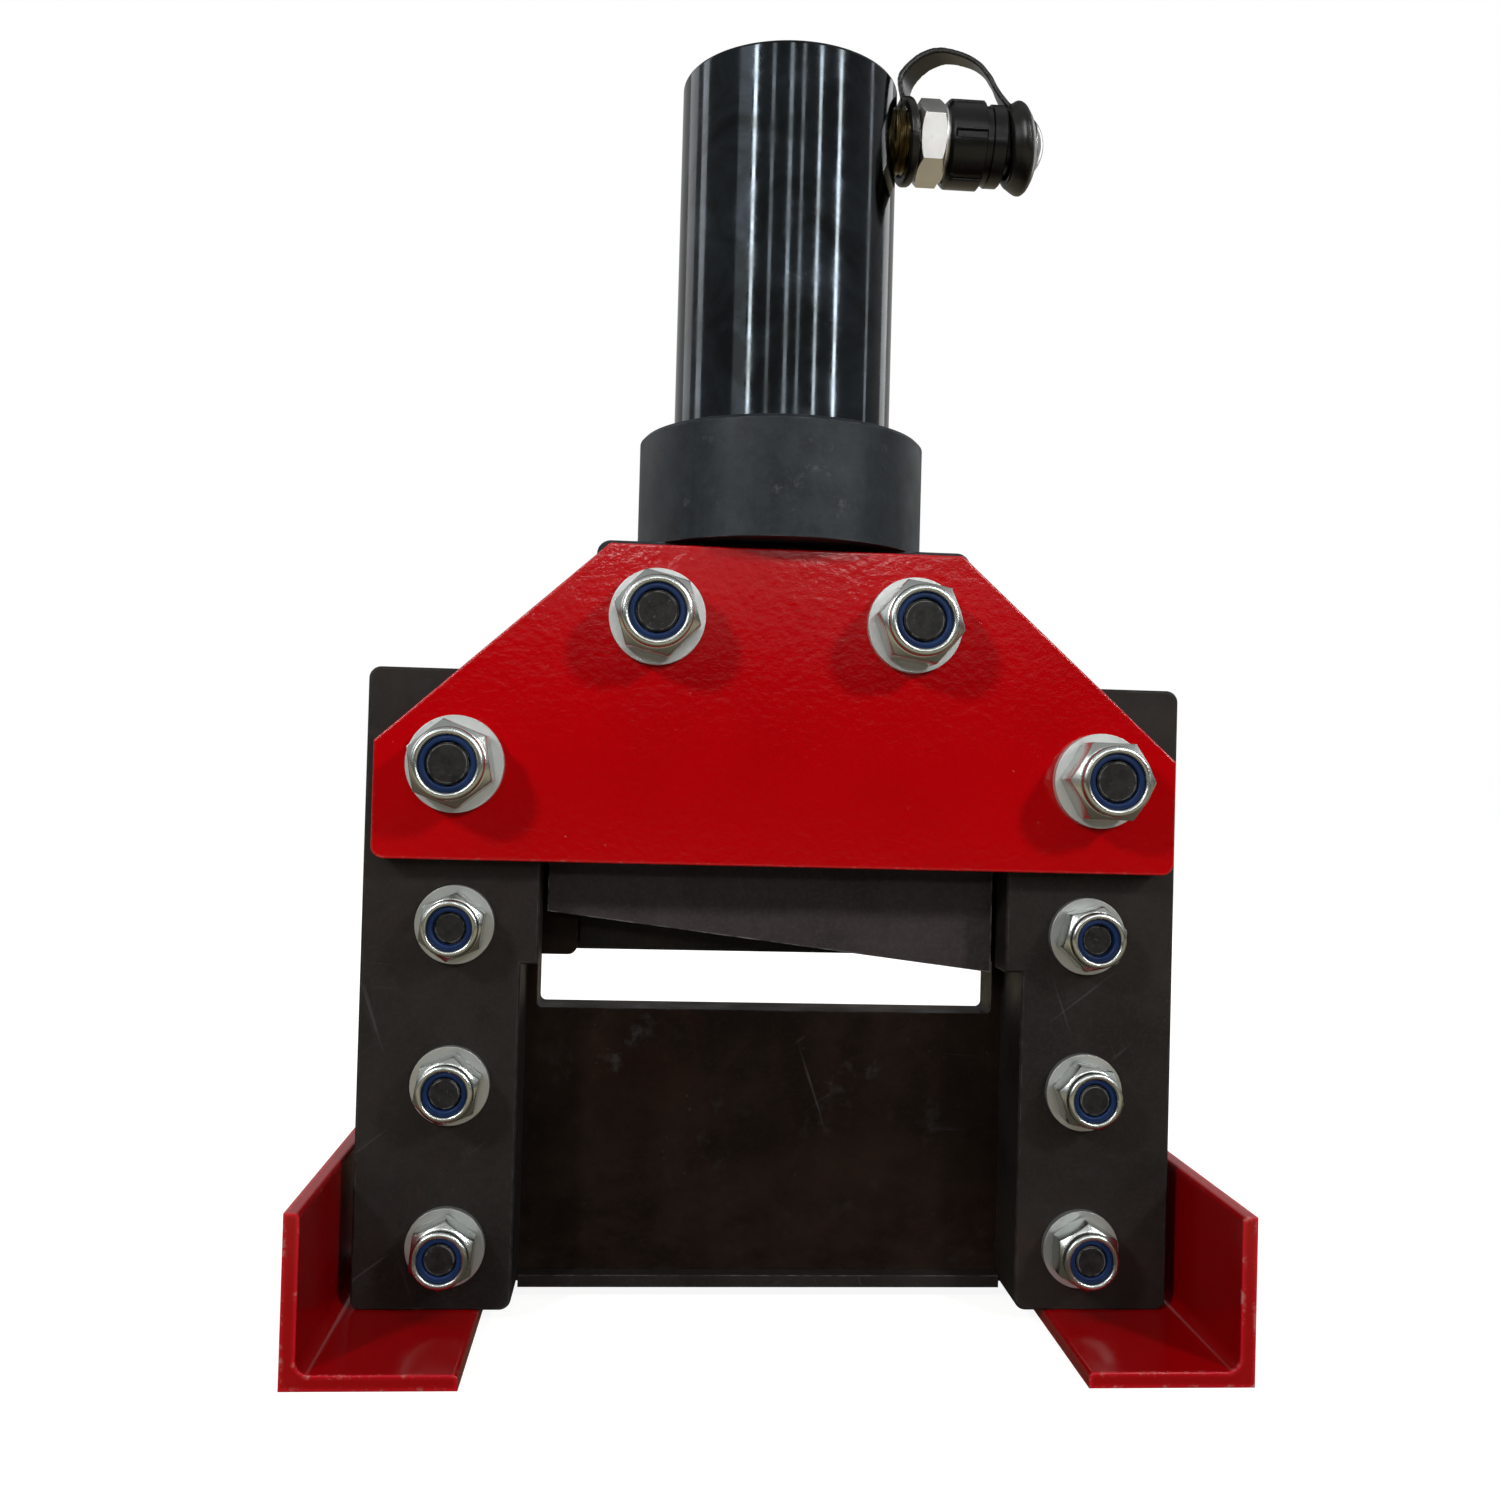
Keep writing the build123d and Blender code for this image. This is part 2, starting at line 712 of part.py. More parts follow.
# Piston on the rod's stud, held by a nut
piston_radius = barrel_bore_radius - running_clearance
piston_nut_seat_z = piston_top_z - piston_nut_height - loose_clearance
piston_seal_low_z = (piston_low_z + piston_top_z - seal_width) / 2
with BuildPart() as piston:
    with BuildSketch(Plane.XY.offset(piston_low_z)):
        Circle(piston_radius)
        Circle(rod_stud_radius + running_clearance, mode=Mode.SUBTRACT)
    extrude(amount=piston_length)
    with BuildSketch(Plane.XY.offset(piston_nut_seat_z)):
        Circle(piston_nut_across / math.sqrt(3) + loose_clearance)
    extrude(amount=piston_length, mode=Mode.SUBTRACT)
    with BuildSketch(Plane.XY.offset(piston_seal_low_z)):
        Circle(piston_radius)
        Circle(piston_radius - seal_depth, mode=Mode.SUBTRACT)
    extrude(amount=seal_width, mode=Mode.SUBTRACT)
finish(piston, "piston")

with BuildPart() as piston_seal:
    with BuildSketch(Plane.XY.offset(piston_seal_low_z)):
        Circle(piston_radius)
        Circle(piston_radius - seal_depth + running_clearance, mode=Mode.SUBTRACT)
    extrude(amount=seal_width)
finish(piston_seal, "piston_seal")

with BuildPart() as piston_nut:
    with BuildSketch(Plane.XY.offset(piston_nut_seat_z)):
        RegularPolygon(piston_nut_across / 2, 6, major_radius=False)
        Circle(rod_stud_radius + running_clearance, mode=Mode.SUBTRACT)
    extrude(amount=piston_nut_height)
finish(piston_nut, "piston_nut")

with BuildPart() as return_spring:
    spring_low_z = gland_top_z + spring_wire_radius
    spring_height = piston_low_z - gland_top_z - 2 * spring_wire_radius
    with BuildLine() as coil:
        wind(
            helix_points(
                Vector(0, 0, spring_low_z),
                Vector(0, 0, 1),
                Vector(1, 0, 0),
                spring_mean_radius,
                spring_height,
                spring_turns,
            )
        )
    with BuildSketch(Plane(origin=coil.line @ 0, z_dir=coil.line % 0)):
        Circle(spring_wire_radius)
    sweep()
finish(return_spring, "return_spring")

# Rod, with a spigot that is pinned in the crosshead
pin_z = crosshead_top_z - rod_spigot_length / 2
with BuildPart() as ram_rod:
    with BuildSketch(Plane.XY.offset(crosshead_top_z)):
        Circle(rod_radius)
    extrude(amount=piston_low_z - crosshead_top_z)
    chamfer(ram_rod.edges().group_by(Axis.Z)[0], edge_break)
    with BuildSketch(Plane.XY.offset(crosshead_top_z - rod_spigot_length)):
        Circle(rod_spigot_radius)
    extrude(amount=rod_spigot_length)
    with BuildSketch(Plane.XY.offset(piston_low_z)):
        Circle(rod_stud_radius)
    extrude(amount=piston_nut_seat_z + piston_nut_height - piston_low_z)
    with BuildSketch(depth_plane(rod_spigot_radius)):
        with Locations((0, pin_z)):
            Circle(ram_pin_radius + running_clearance)
    extrude(amount=2 * rod_spigot_radius, mode=Mode.SUBTRACT)
finish(ram_rod, "ram_rod")

# Crosshead: ears that run in the guides, and a back that runs between the lugs
crosshead_back_y = fixed_back_y - loose_clearance
with BuildPart() as crosshead:
    with BuildSketch(depth_plane(blade_back_y)):
        with Locations((0, (blade_top_z + crosshead_top_z) / 2)):
            Rectangle(2 * (inner_x - ear_clearance), ear_height)
    extrude(amount=blade_thickness)
    with BuildSketch(depth_plane(crosshead_back_y)):
        with Locations((0, (crosshead_low_z + crosshead_top_z) / 2)):
            Rectangle(2 * (lug_x - loose_clearance), blade_seat_height + ear_height)
    extrude(amount=crosshead_back_y - blade_back_y)
    with BuildSketch(Plane.XY.offset(crosshead_top_z)):
        Circle(rod_spigot_radius + running_clearance)
    extrude(amount=-rod_spigot_length, mode=Mode.SUBTRACT)
    with BuildSketch(depth_plane(crosshead_back_y)):
        with Locations((0, pin_z)):
            Circle(ram_pin_radius + running_clearance)
    extrude(amount=crosshead_back_y - blade_front_y, mode=Mode.SUBTRACT)
    add(blade_screw_room.part, mode=Mode.SUBTRACT)
finish(crosshead, "crosshead")

with BuildPart() as ram_pin:
    with BuildSketch(depth_plane(crosshead_back_y)):
        with Locations((0, pin_z)):
            Circle(ram_pin_radius)
    extrude(amount=crosshead_back_y - blade_front_y)
finish(ram_pin, "ram_pin")

# Moving blade with a raked edge, screwed to the crosshead
with BuildPart() as moving_blade:
    with BuildSketch(depth_plane(blade_back_y)):
        with BuildLine():
            Polyline(
                (-blade_half, blade_high_z),
                (blade_half, blade_low_z),
                (blade_half, blade_top_z),
                (-blade_half, blade_top_z),
                close=True,
            )
        make_face()
    extrude(amount=blade_thickness)
    add(blade_screw_room.part, mode=Mode.SUBTRACT)
finish(moving_blade, "moving_blade")

blade_screws = screw_group(blade_plane, blade_screw_points, *blade_screw)
finish(blade_screws, "blade_screws")

# Bolts through the red plates
plate_head_y = plate_rear_y + plate_washer_thickness
plate_nut_y = plate_front_y - plate_washer_thickness
plate_nut_top_y = plate_nut_y - plate_nut_height
plate_insert_y = plate_nut_top_y + insert_recess + insert_height
plate_bolts = bolt_group(
    [(plate_bolt_points, plate_nut_top_y + bolt_end_recess)],
    plate_head_y,
    plate_insert_y,
    plate_bolt_radius,
    plate_bolt_across,
    plate_bolt_head,
)
finish(plate_bolts, "plate_bolts")
plate_nut = lock_nut(
    plate_bolt_radius, plate_bolt_across, plate_nut_height, plate_rim_radius, plate_insert_radius
)
plate_nuts = placed_group(plate_nut, plate_bolt_points, plate_nut_y)
finish(plate_nuts, "plate_nuts")
plate_nut_inserts = insert_group(plate_bolt_points, plate_insert_y, plate_bolt_radius, plate_insert_radius)
finish(plate_nut_inserts, "plate_nut_inserts")
plate_washers = washer_group(
    plate_bolt_points,
    [plate_head_y, plate_front_y],
    plate_bolt_radius,
    plate_washer_radius,
    plate_washer_thickness,
)
finish(plate_washers, "plate_washers")

# Bolts through the columns; the top pair is short of its nuts
column_head_y = rear_y + column_washer_thickness
column_nut_y = front_y - column_washer_thickness
column_nut_top_y = column_nut_y - column_nut_height
column_insert_y = column_nut_top_y + insert_recess + insert_height
column_bolts = bolt_group(
    [
        (long_bolt_points, column_nut_top_y + bolt_end_recess),
        (short_bolt_points, column_nut_top_y + short_bolt_recess),
    ],
    column_head_y,
    column_insert_y,
    column_bolt_radius,
    column_bolt_across,
    column_bolt_head,
)
finish(column_bolts, "column_bolts")
column_nut = lock_nut(
    column_bolt_radius, column_bolt_across, column_nut_height, column_rim_radius, column_insert_radius
)
column_nuts = placed_group(column_nut, column_bolt_points, column_nut_y)
finish(column_nuts, "column_nuts")
column_nut_inserts = insert_group(
    column_bolt_points, column_insert_y, column_bolt_radius, column_insert_radius
)
finish(column_nut_inserts, "column_nut_inserts")
column_washers = washer_group(
    column_bolt_points,
    [column_head_y, front_y],
    column_bolt_radius,
    column_washer_radius,
    column_washer_thickness,
)
finish(column_washers, "column_washers")

# Nipple in the oil port
with BuildPart() as port_nipple:
    with BuildSketch(side_plane(nipple_start)):
        with Locations((0, port_z)):
            Circle(nipple_radius)
            Circle(nipple_bore_radius, mode=Mode.SUBTRACT)
    extrude(amount=nipple_end - nipple_start)
    with BuildSketch(side_plane(collar_start)):
        with Locations((0, port_z)):
            Circle(nipple_collar_radius)
            Circle(nipple_radius, mode=Mode.SUBTRACT)
    extrude(amount=coupler_start - running_clearance - collar_start)
finish(port_nipple, "port_nipple")

# Coupler body: a hexagon, then a nose with the valve seat in its end
hex_end = coupler_start + coupler_hex_length
nose_end = hex_end + nose_length
seat_x = nose_end - seat_length
coupler_blank = hexagon_blank(
    coupler_across, coupler_hex_length, coupler_across / 2, coupler_across / 2, edge_break, coupler_turn
)
with BuildPart(side_plane(coupler_start)) as coupler_body:
    with Locations((0, port_z)):
        add(coupler_blank.part)
    with BuildSketch(side_plane(hex_end)):
        with Locations((0, port_z)):
            Circle(nose_radius)
    extrude(amount=nose_length)
    with BuildSketch(side_plane(coupler_start)):
        with Locations((0, port_z)):
            Circle(nipple_radius + running_clearance)
    extrude(amount=nipple_end - coupler_start, mode=Mode.SUBTRACT)
    with BuildSketch(side_plane(nipple_end)):
        with Locations((0, port_z)):
            Circle(chamber_radius)
    extrude(amount=seat_x - nipple_end, mode=Mode.SUBTRACT)
    with BuildSketch(side_plane(seat_x)):
        with Locations((0, port_z)):
            Circle(seat_radius)
    extrude(amount=seat_length, mode=Mode.SUBTRACT)
finish(coupler_body, "coupler_body")

# Check ball behind the seat, and its spring
ball_x = seat_x - math.sqrt(ball_radius ** 2 - seat_radius ** 2) - ear_clearance
with BuildPart() as check_ball:
    with Locations((ball_x, 0, port_z)):
        Sphere(ball_radius)
finish(check_ball, "check_ball")

check_spring_end = ball_x - math.sqrt(ball_radius ** 2 - check_mean_radius ** 2)
with BuildPart() as check_spring:
    with BuildLine() as coil:
        wind(
            helix_points(
                Vector(nipple_end + check_wire_radius, 0, port_z),
                Vector(1, 0, 0),
                Vector(0, 1, 0),
                check_mean_radius,
                check_spring_end - nipple_end - 3 * check_wire_radius,
                check_turns,
            )
        )
    with BuildSketch(Plane(origin=coil.line @ 0, z_dir=coil.line % 0)):
        Circle(check_wire_radius)
    sweep()
finish(check_spring, "check_spring")

# Fluted dust cap over the nose, with a neck for the strap's ring
cap_start = hex_end + loose_clearance
cap_end = cap_start + cap_length
with BuildPart() as dust_cap:
    with BuildSketch(side_plane(cap_start)):
        with Locations((0, port_z)):
            Circle(cap_radius)
            with PolarLocations(cap_radius + 0.3 * cap_flute_radius, cap_flutes, cap_flute_turn):
                Circle(cap_flute_radius, mode=Mode.SUBTRACT)
    extrude(amount=cap_grip_length)
    with BuildSketch(side_plane(cap_start)):
        with Locations((0, port_z)):
            Circle(cap_collar_radius)
    extrude(amount=cap_length)
    with BuildSketch(side_plane(cap_end)):
        with Locations((0, port_z)):
            Circle(cap_neck_radius)
    extrude(amount=cap_ring_width + 2 * loose_clearance)
    with BuildSketch(side_plane(cap_start)):
        with Locations((0, port_z)):
            Circle(nose_radius + ear_clearance)
    extrude(amount=cap_length - cap_wall, mode=Mode.SUBTRACT)
finish(dust_cap, "dust_cap")

# Strap ring on the cap's neck, and the domed stud that keeps it there
ring_start = cap_end + loose_clearance
ring_end = ring_start + cap_ring_width
with BuildPart() as strap_cap_ring:
    with BuildSketch(side_plane(ring_start)):
        with Locations((0, port_z)):
            Circle(cap_ring_radius)
    extrude(amount=cap_ring_width)
    fillet(strap_cap_ring.edges().filter_by(GeomType.CIRCLE), 0.4 * cap_ring_width)
    with BuildSketch(side_plane(ring_start)):
        with Locations((0, port_z)):
            Circle(cap_neck_radius + running_clearance)
    extrude(amount=cap_ring_width, mode=Mode.SUBTRACT)
finish(strap_cap_ring, "strap_cap_ring")

dome_start = ring_end + loose_clearance
dome_sphere_radius = (dome_radius ** 2 + dome_length ** 2) / (2 * dome_length)
with BuildPart() as cap_dome:
    with BuildSketch(Plane.XY.offset(port_z)):
        with BuildLine():
            crown = RadiusArc((dome_start, dome_radius), (dome_start + dome_length, 0), dome_sphere_radius)
            Polyline(crown @ 1, (dome_start, 0), crown @ 0)
        make_face()
    revolve(axis=Axis((0, 0, port_z), (1, 0, 0)))
finish(cap_dome, "cap_dome")

# Strap: a ring on the nipple, and a band that arches over to the cap's ring
strap_ring_x = coupler_start - ear_clearance - strap_ring_width / 2
band_foot = port_z + 0.85 * strap_ring_radius
band_end_x = ring_start + 0.25 * cap_ring_width
band_end_z = port_z + cap_ring_radius + strap_thickness / 2 + ear_clearance
band_span = band_end_x - strap_ring_x
with BuildPart() as cap_strap:
    with BuildSketch(side_plane(strap_ring_x - strap_ring_width / 2)):
        with Locations((0, port_z)):
            Circle(strap_ring_radius)
    extrude(amount=strap_ring_width)
    with BuildSketch(depth_plane(strap_width / 2)):
        with BuildLine() as band:
            leaning = TangentArc(
                (strap_ring_x, band_foot),
                (strap_ring_x - strap_lean, port_z + 0.65 * strap_rise),
                tangent=(-0.55, 0.83),
            )
            rising = TangentArc(
                leaning @ 1, (strap_ring_x + 0.29 * band_span, port_z + strap_rise), tangent=leaning % 1
            )
            falling = TangentArc(
                rising @ 1,
                (strap_ring_x + 0.82 * band_span, port_z + 0.72 * strap_rise),
                tangent=rising % 1,
            )
            Line(falling @ 1, (band_end_x, band_end_z))
        trace(line_width=strap_thickness)
    extrude(amount=strap_width)
    with BuildSketch(side_plane(strap_ring_x - strap_ring_width / 2)):
        with Locations((0, port_z)):
            Circle(nipple_collar_radius + hole_clearance)
    extrude(amount=strap_ring_width, mode=Mode.SUBTRACT)
finish(cap_strap, "cap_strap")
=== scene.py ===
"""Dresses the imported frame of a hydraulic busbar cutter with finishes, detailed fittings and a stage."""

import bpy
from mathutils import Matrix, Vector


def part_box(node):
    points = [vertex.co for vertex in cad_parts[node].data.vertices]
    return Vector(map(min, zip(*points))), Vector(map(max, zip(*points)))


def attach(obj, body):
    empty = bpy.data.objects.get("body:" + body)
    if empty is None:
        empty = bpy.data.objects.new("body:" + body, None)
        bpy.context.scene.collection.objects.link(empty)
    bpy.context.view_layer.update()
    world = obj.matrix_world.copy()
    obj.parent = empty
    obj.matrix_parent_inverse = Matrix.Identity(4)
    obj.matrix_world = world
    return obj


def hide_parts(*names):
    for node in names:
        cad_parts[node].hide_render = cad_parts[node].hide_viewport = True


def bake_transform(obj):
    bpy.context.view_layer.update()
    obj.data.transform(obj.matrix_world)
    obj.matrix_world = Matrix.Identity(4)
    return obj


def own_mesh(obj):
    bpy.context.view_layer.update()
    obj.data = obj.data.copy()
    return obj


bl_info = {
    "name": "Busbar Cutter Dressing",
    "version": (1, 0, 0),
    "blender": (4, 5, 0),
    "location": "View3D > Sidebar > Cutter",
    "description": "Finishes, detailed fittings and a studio stage for a hydraulic busbar cutter",
    "category": "Object",
}

import math

import bmesh
import bpy
from bpy.props import FloatProperty, FloatVectorProperty, IntProperty, PointerProperty
from mathutils import Matrix, Vector

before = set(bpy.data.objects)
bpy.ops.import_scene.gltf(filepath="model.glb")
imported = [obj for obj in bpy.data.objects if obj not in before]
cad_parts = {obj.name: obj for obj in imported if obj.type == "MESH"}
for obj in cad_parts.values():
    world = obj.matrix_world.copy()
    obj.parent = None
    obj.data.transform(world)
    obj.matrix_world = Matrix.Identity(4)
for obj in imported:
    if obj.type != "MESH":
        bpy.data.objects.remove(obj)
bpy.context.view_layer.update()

MM = 0.001

# Colours of wear, dirt, painted light and the floor, in linear light
# Pale pink on the enamel's edges: chipped paint, partly painted glints
PINK_CHIPS_AND_GLINTS = (0.50, 0.24, 0.22)
ENAMEL_GRIT = (0.50, 0.10, 0.10)
# Lighter brown low on the fixed blade plate: painted light bounced from the floor
FLOOR_BOUNCE_BROWN = (0.021, 0.0125, 0.0092)
GREY_SMUDGE = (0.026, 0.024, 0.023)
BAR_SCRATCH = (0.10, 0.10, 0.10)
BAR_SPECK = (0.12, 0.10, 0.09)
BARREL_SCRATCH = (0.16, 0.17, 0.18)
BARREL_SPECK = (0.14, 0.15, 0.16)
COLLAR_RUB = (0.12, 0.125, 0.13)
# Pale collar edges: wear, partly a painted highlight
COLLAR_EDGE_WEAR_AND_SHINE = (0.15, 0.15, 0.16)
BOLT_CRUMB = (0.10, 0.10, 0.102)
BOLT_EDGE = (0.34, 0.34, 0.33)
FLOOR_DARK = (0.25, 0.235, 0.215)
FLOOR_PALE = (0.28, 0.265, 0.245)
FLOOR_MIRRORED = (0.09, 0.08, 0.06)
FLOOR_GLOW = (1.0, 0.88, 0.62)
WHITE = (1.0, 1.0, 1.0)


def paint(name, description, default):
    """A colour setting in linear light."""
    return FloatVectorProperty(
        name=name, description=description, subtype="COLOR", size=3, min=0.0, max=1.0, default=default
    )


def length(name, description, default):
    """A length setting in metres."""
    return FloatProperty(
        name=name, description=description, unit="LENGTH", min=0.0, precision=5, default=default
    )


def angle(name, description, degrees):
    """An angle setting, given in degrees."""
    return FloatProperty(name=name, description=description, subtype="ANGLE", default=math.radians(degrees))


def amount(name, description, default, least=0.0):
    """A setting that is a plain number, such as a power."""
    return FloatProperty(name=name, description=description, min=least, default=default)


def count(name, description, default, fewest=1):
    """A setting that is a whole number."""
    return IntProperty(name=name, description=description, min=fewest, max=40, default=default)


class CutterFinishes(bpy.types.PropertyGroup):
    """Colours of the cutter's finishes."""

    enamel: paint("Enamel", "Red enamel on the clamp plates and feet", (0.40, 0.0004, 0.0022))
    # Enamel Edge is a painted highlight: brighter red along edges where light catches them.
    enamel_edge_highlight: paint("Enamel Edge", "Thin enamel along edges", (0.62, 0.006, 0.018))
    oxide: paint("Black Oxide", "Blackened bars", (0.0144, 0.0120, 0.0107))
    moving: paint("Moving Blade", "Ground black of the moving blade", (0.0330, 0.0265, 0.0280))
    blade: paint("Blade Steel", "Oily black of the fixed blade", (0.0074, 0.0042, 0.0028))
    slate: paint("Collar Slate", "Satin collar and head block", (0.0092, 0.0126, 0.0158))
    barrel: paint("Barrel Black", "Polished blue-black barrel", (0.0265, 0.0305, 0.0320))
    zinc: paint("Zinc", "Zinc plate on the lock nuts", (0.52, 0.55, 0.53))
    washer: paint("Washer", "Satin zinc on the washers", (0.80, 0.83, 0.81))
    nylon: paint("Nylon", "Nylon rings in the lock nuts", (0.0058, 0.0185, 0.0660))
    bolt: paint("Bolt", "Blackened bolts and screws", (0.016, 0.0155, 0.0150))
    silver: paint("Silver", "Bright turned steel", (0.76, 0.76, 0.74))
    brass: paint("Brass", "Dull brass nipple", (0.280, 0.220, 0.110))
    rubber: paint("Rubber", "Black rubber strap", (0.0060, 0.0060, 0.0052))
    cap: paint("Cap", "Moulded black cap", (0.0030, 0.0031, 0.0031))


class CutterSizes(bpy.types.PropertyGroup):
    """Sizes of the detailed fittings."""

    nut_chamfer: angle("Nut Chamfer", "Angle of the chamfer on a nut's hexagon", 37)
    rim_height: length("Rim Height", "Height of the rolled rim that holds the nylon ring", 3.4 * MM)
    ring_depth: length("Ring Depth", "Depth of the nylon ring below the rim's crest", 1.2 * MM)
    thread_pitch: length("Thread Pitch", "Pitch of the thread on the nipple", 1.5 * MM)
    thread_depth: length("Thread Depth", "Depth of the thread on the nipple", 0.8 * MM)
    strap_width: length("Strap Width", "Width of the rubber strap", 10.0 * MM)
    strap_thickness: length("Strap Thickness", "Thickness of the rubber strap", 1.8 * MM)
    strap_skew: angle("Strap Skew", "How far the strap's arch is turned", 32)
    rib_count: count("Cap Ribs", "Broad ribs round the dust cap", 6, 3)
    rib_groove: length("Rib Groove", "Depth of the grooves between the cap's ribs", 0.9 * MM)
    rib_length: length("Rib Length", "How far the cap's ribs reach", 12.8 * MM)
    return_wire: length("Return Spring Wire", "Radius of the return spring's wire", 2.5 * MM)
    return_turns: count("Return Spring Turns", "Turns of the return spring", 8)
    check_wire: length("Check Spring Wire", "Radius of the check spring's wire", 0.4 * MM)
    check_turns: count("Check Spring Turns", "Turns of the check spring", 4)


class CutterStage(bpy.types.PropertyGroup):
    """Camera and light."""

    camera_place: FloatVectorProperty(
        name="Camera Place",
        description="Where the camera stands",
        subtype="TRANSLATION",
        unit="LENGTH",
        default=(-0.04123, -0.47327, 0.17766),
    )
    camera_turn: FloatVectorProperty(
        name="Camera Turn",
        description="Which way the camera points",
        subtype="EULER",
        unit="ROTATION",
        default=(math.radians(90.951), math.radians(-1.542), math.radians(-4.054)),
    )
    focal_length: amount("Focal Length", "Lens length in millimetres on a 36 mm sensor", 33.05, 5.0)
    strip_radiance: amount("Strip Radiance", "Brightness of the strip lamps that the barrel mirrors", 33.0)
    key_power: amount("Key Power", "Power of each key lamp in watts", 9.0)
    back_power: amount("Back Power", "Power of each lamp behind in watts", 12.0)
    fill_power: amount("Fill Power", "Power of the front fill in watts", 6.5)
    card_power: amount("Card Power", "Power of the card that the coupler mirrors in watts", 0.12)
    top_power: amount("Top Power", "Power of the lamp overhead in watts", 3.0)
    ambient: amount("Ambient", "Strength of the room's own light", 0.03)
    room_front: amount("Room Front", "What polished metal sees above the floor in front", 0.42)
    room_back: amount("Room Back", "What polished metal sees behind", 0.38)


def finishes():
    return bpy.context.scene.cutter_finishes


def sizes():
    return bpy.context.scene.cutter_sizes


class Nodes:
    """A node tree being filled, with short names for the nodes that the finishes and the room share."""

    def __init__(self, tree):
        self.nodes = tree.nodes
        self.links = tree.links

    def feed(self, socket, value):
        """Links a socket, or sets a plain value."""
        if isinstance(value, bpy.types.NodeSocket):
            self.links.new(value, socket)
        elif hasattr(value, "__len__") and len(value) == 3 and socket.type == "RGBA":
            socket.default_value = (*value, 1.0)
        else:
            socket.default_value = value

    def fill(self, node, **values):
        """Feeds a node's sockets by name: from_min feeds From Min, and so on."""
        for key, value in values.items():
            words = key.replace("_", " ").title().replace("Ior", "IOR")
            self.feed(node.inputs[words], value)

    def add(self, kind, *first, **values):
        """A new node whose first sockets, or sockets by name, are fed."""
        node = self.nodes.new(kind)
        for socket, value in zip(node.inputs, first):
            self.feed(socket, value)
        self.fill(node, **values)
        return node

    def split(self, vector):
        """The X, Y and Z of a vector."""
        return self.add("ShaderNodeSeparateXYZ", vector).outputs

    def span(self, value, low, high, to_low=0.0, to_high=1.0):
        """A value from low to high, spread over to_low to to_high and clamped there."""
        limits = {"from_min": low, "from_max": high, "to_min": to_low, "to_max": to_high}
        return self.add("ShaderNodeMapRange", value, **limits).outputs["Result"]

    def maths(self, operation, first, second):
        node = self.add("ShaderNodeMath", first, second)
        node.operation = operation
        return node.outputs["Value"]

    def both(self, first, second):
        """Two masks, or a mask and a share, multiplied."""
        return self.maths("MULTIPLY", first, second)

    def between(self, factor, first, second):
        """A number between two others."""
        node = self.add("ShaderNodeMix", factor)
        self.feed(node.inputs[2], first)
        self.feed(node.inputs[3], second)
        return node.outputs[0]

    def mix(self, factor, first, second):
        """A colour between two others."""
        node = self.add("ShaderNodeMix", factor)
        node.data_type = "RGBA"
        self.feed(node.inputs[6], first)
        self.feed(node.inputs[7], second)
        return node.outputs[2]


class Finish(Nodes):
    """A material being made from nodes, in coats over a base colour."""

    def __init__(self, name, base):
        self.material = bpy.data.materials.new(name)
        self.material.use_nodes = True
        super().__init__(self.material.node_tree)
        self.shader = self.nodes["Principled BSDF"]
        self.place = self.add("ShaderNodeTexCoord").outputs["Object"]
        self.base = base

    def coat(self, colour, mask, strength=1.0):
        """Lays a colour over the base where a mask is 1, at a strength."""
        if strength != 1.0:
            mask = self.both(mask, strength)
        self.base = self.mix(mask, self.base, colour)

    def done(self, **values):
        """Feeds the shader its base colour and other values, and gives the material."""
        self.fill(self.shader, base_color=self.base, **values)
        return self.material

    def stretched(self, stretch, tilt):
        """Object space, tilted about Y by an angle in degrees and then stretched."""
        turn = (0.0, math.radians(tilt), 0.0)
        mapping = self.add("ShaderNodeMapping", self.place, rotation=turn, scale=stretch)
        mapping.vector_type = "TEXTURE"
        return mapping.outputs["Vector"]

    def noise(self, scale, detail=3.0, roughness=0.55, stretch=None, tilt=0.0, distortion=0.0):
        place = self.stretched(stretch, tilt) if stretch else self.place
        grain = {"scale": scale, "detail": detail, "roughness": roughness, "distortion": distortion}
        return self.add("ShaderNodeTexNoise", place, **grain).outputs["Fac"]

    def patches(self, scale, low, high, to_low=0.0, to_high=1.0, **noise):
        """Noise whose values from low to high are spread over to_low to to_high."""
        return self.span(self.noise(scale, **noise), low, high, to_low, to_high)

    def specks(self, scale, size, low=0.56, high=0.66):
        """Small dots, in patches."""
        away = self.add("ShaderNodeTexVoronoi", self.place, scale=scale, randomness=1.0).outputs["Distance"]
        reach = self.both(self.noise(1.7 * scale, 2.0), 2.0 * size)
        dots = self.span(self.maths("SUBTRACT", reach, away), 0.0, 0.3 * size)
        return self.both(dots, self.patches(0.12 * scale, low, high, detail=2.0))

    def scratches(self, scale, tilt, low=0.60, high=0.68):
        """Fine broken lines along X, tilted by an angle in degrees."""
        lines = self.span(self.noise(scale, 2.0, 0.5, (40.0, 1.0, 1.0), tilt, 0.3), 0.70, 0.75)
        return self.both(lines, self.patches(0.08 * scale, low, high))

    def rounded(self, radius):
        """The surface's direction, as if its edges were rounded."""
        node = self.add("ShaderNodeBevel", radius=radius)
        node.samples = 6
        return node.outputs["Normal"]

    def edge(self, radius, full):
        """1 along sharp edges and 0 elsewhere. A lower full makes the edges wider."""
        flat = self.add("ShaderNodeNewGeometry").outputs["Normal"]
        dot = self.add("ShaderNodeVectorMath", self.rounded(radius), flat)
        dot.operation = "DOT_PRODUCT"
        return self.span(self.maths("SUBTRACT", 1.0, dot.outputs["Value"]), 0.01, full)

    def bump(self, height, strength, distance, normal=None):
        node = self.add("ShaderNodeBump", strength=strength, distance=distance, height=height)
        if normal is not None:
            self.fill(node, normal=normal)
        return node.outputs["Normal"]


def scaled(colour, share):
    """A darker colour, or a brighter one where the share is above 1."""
    return tuple(channel * share for channel in colour)


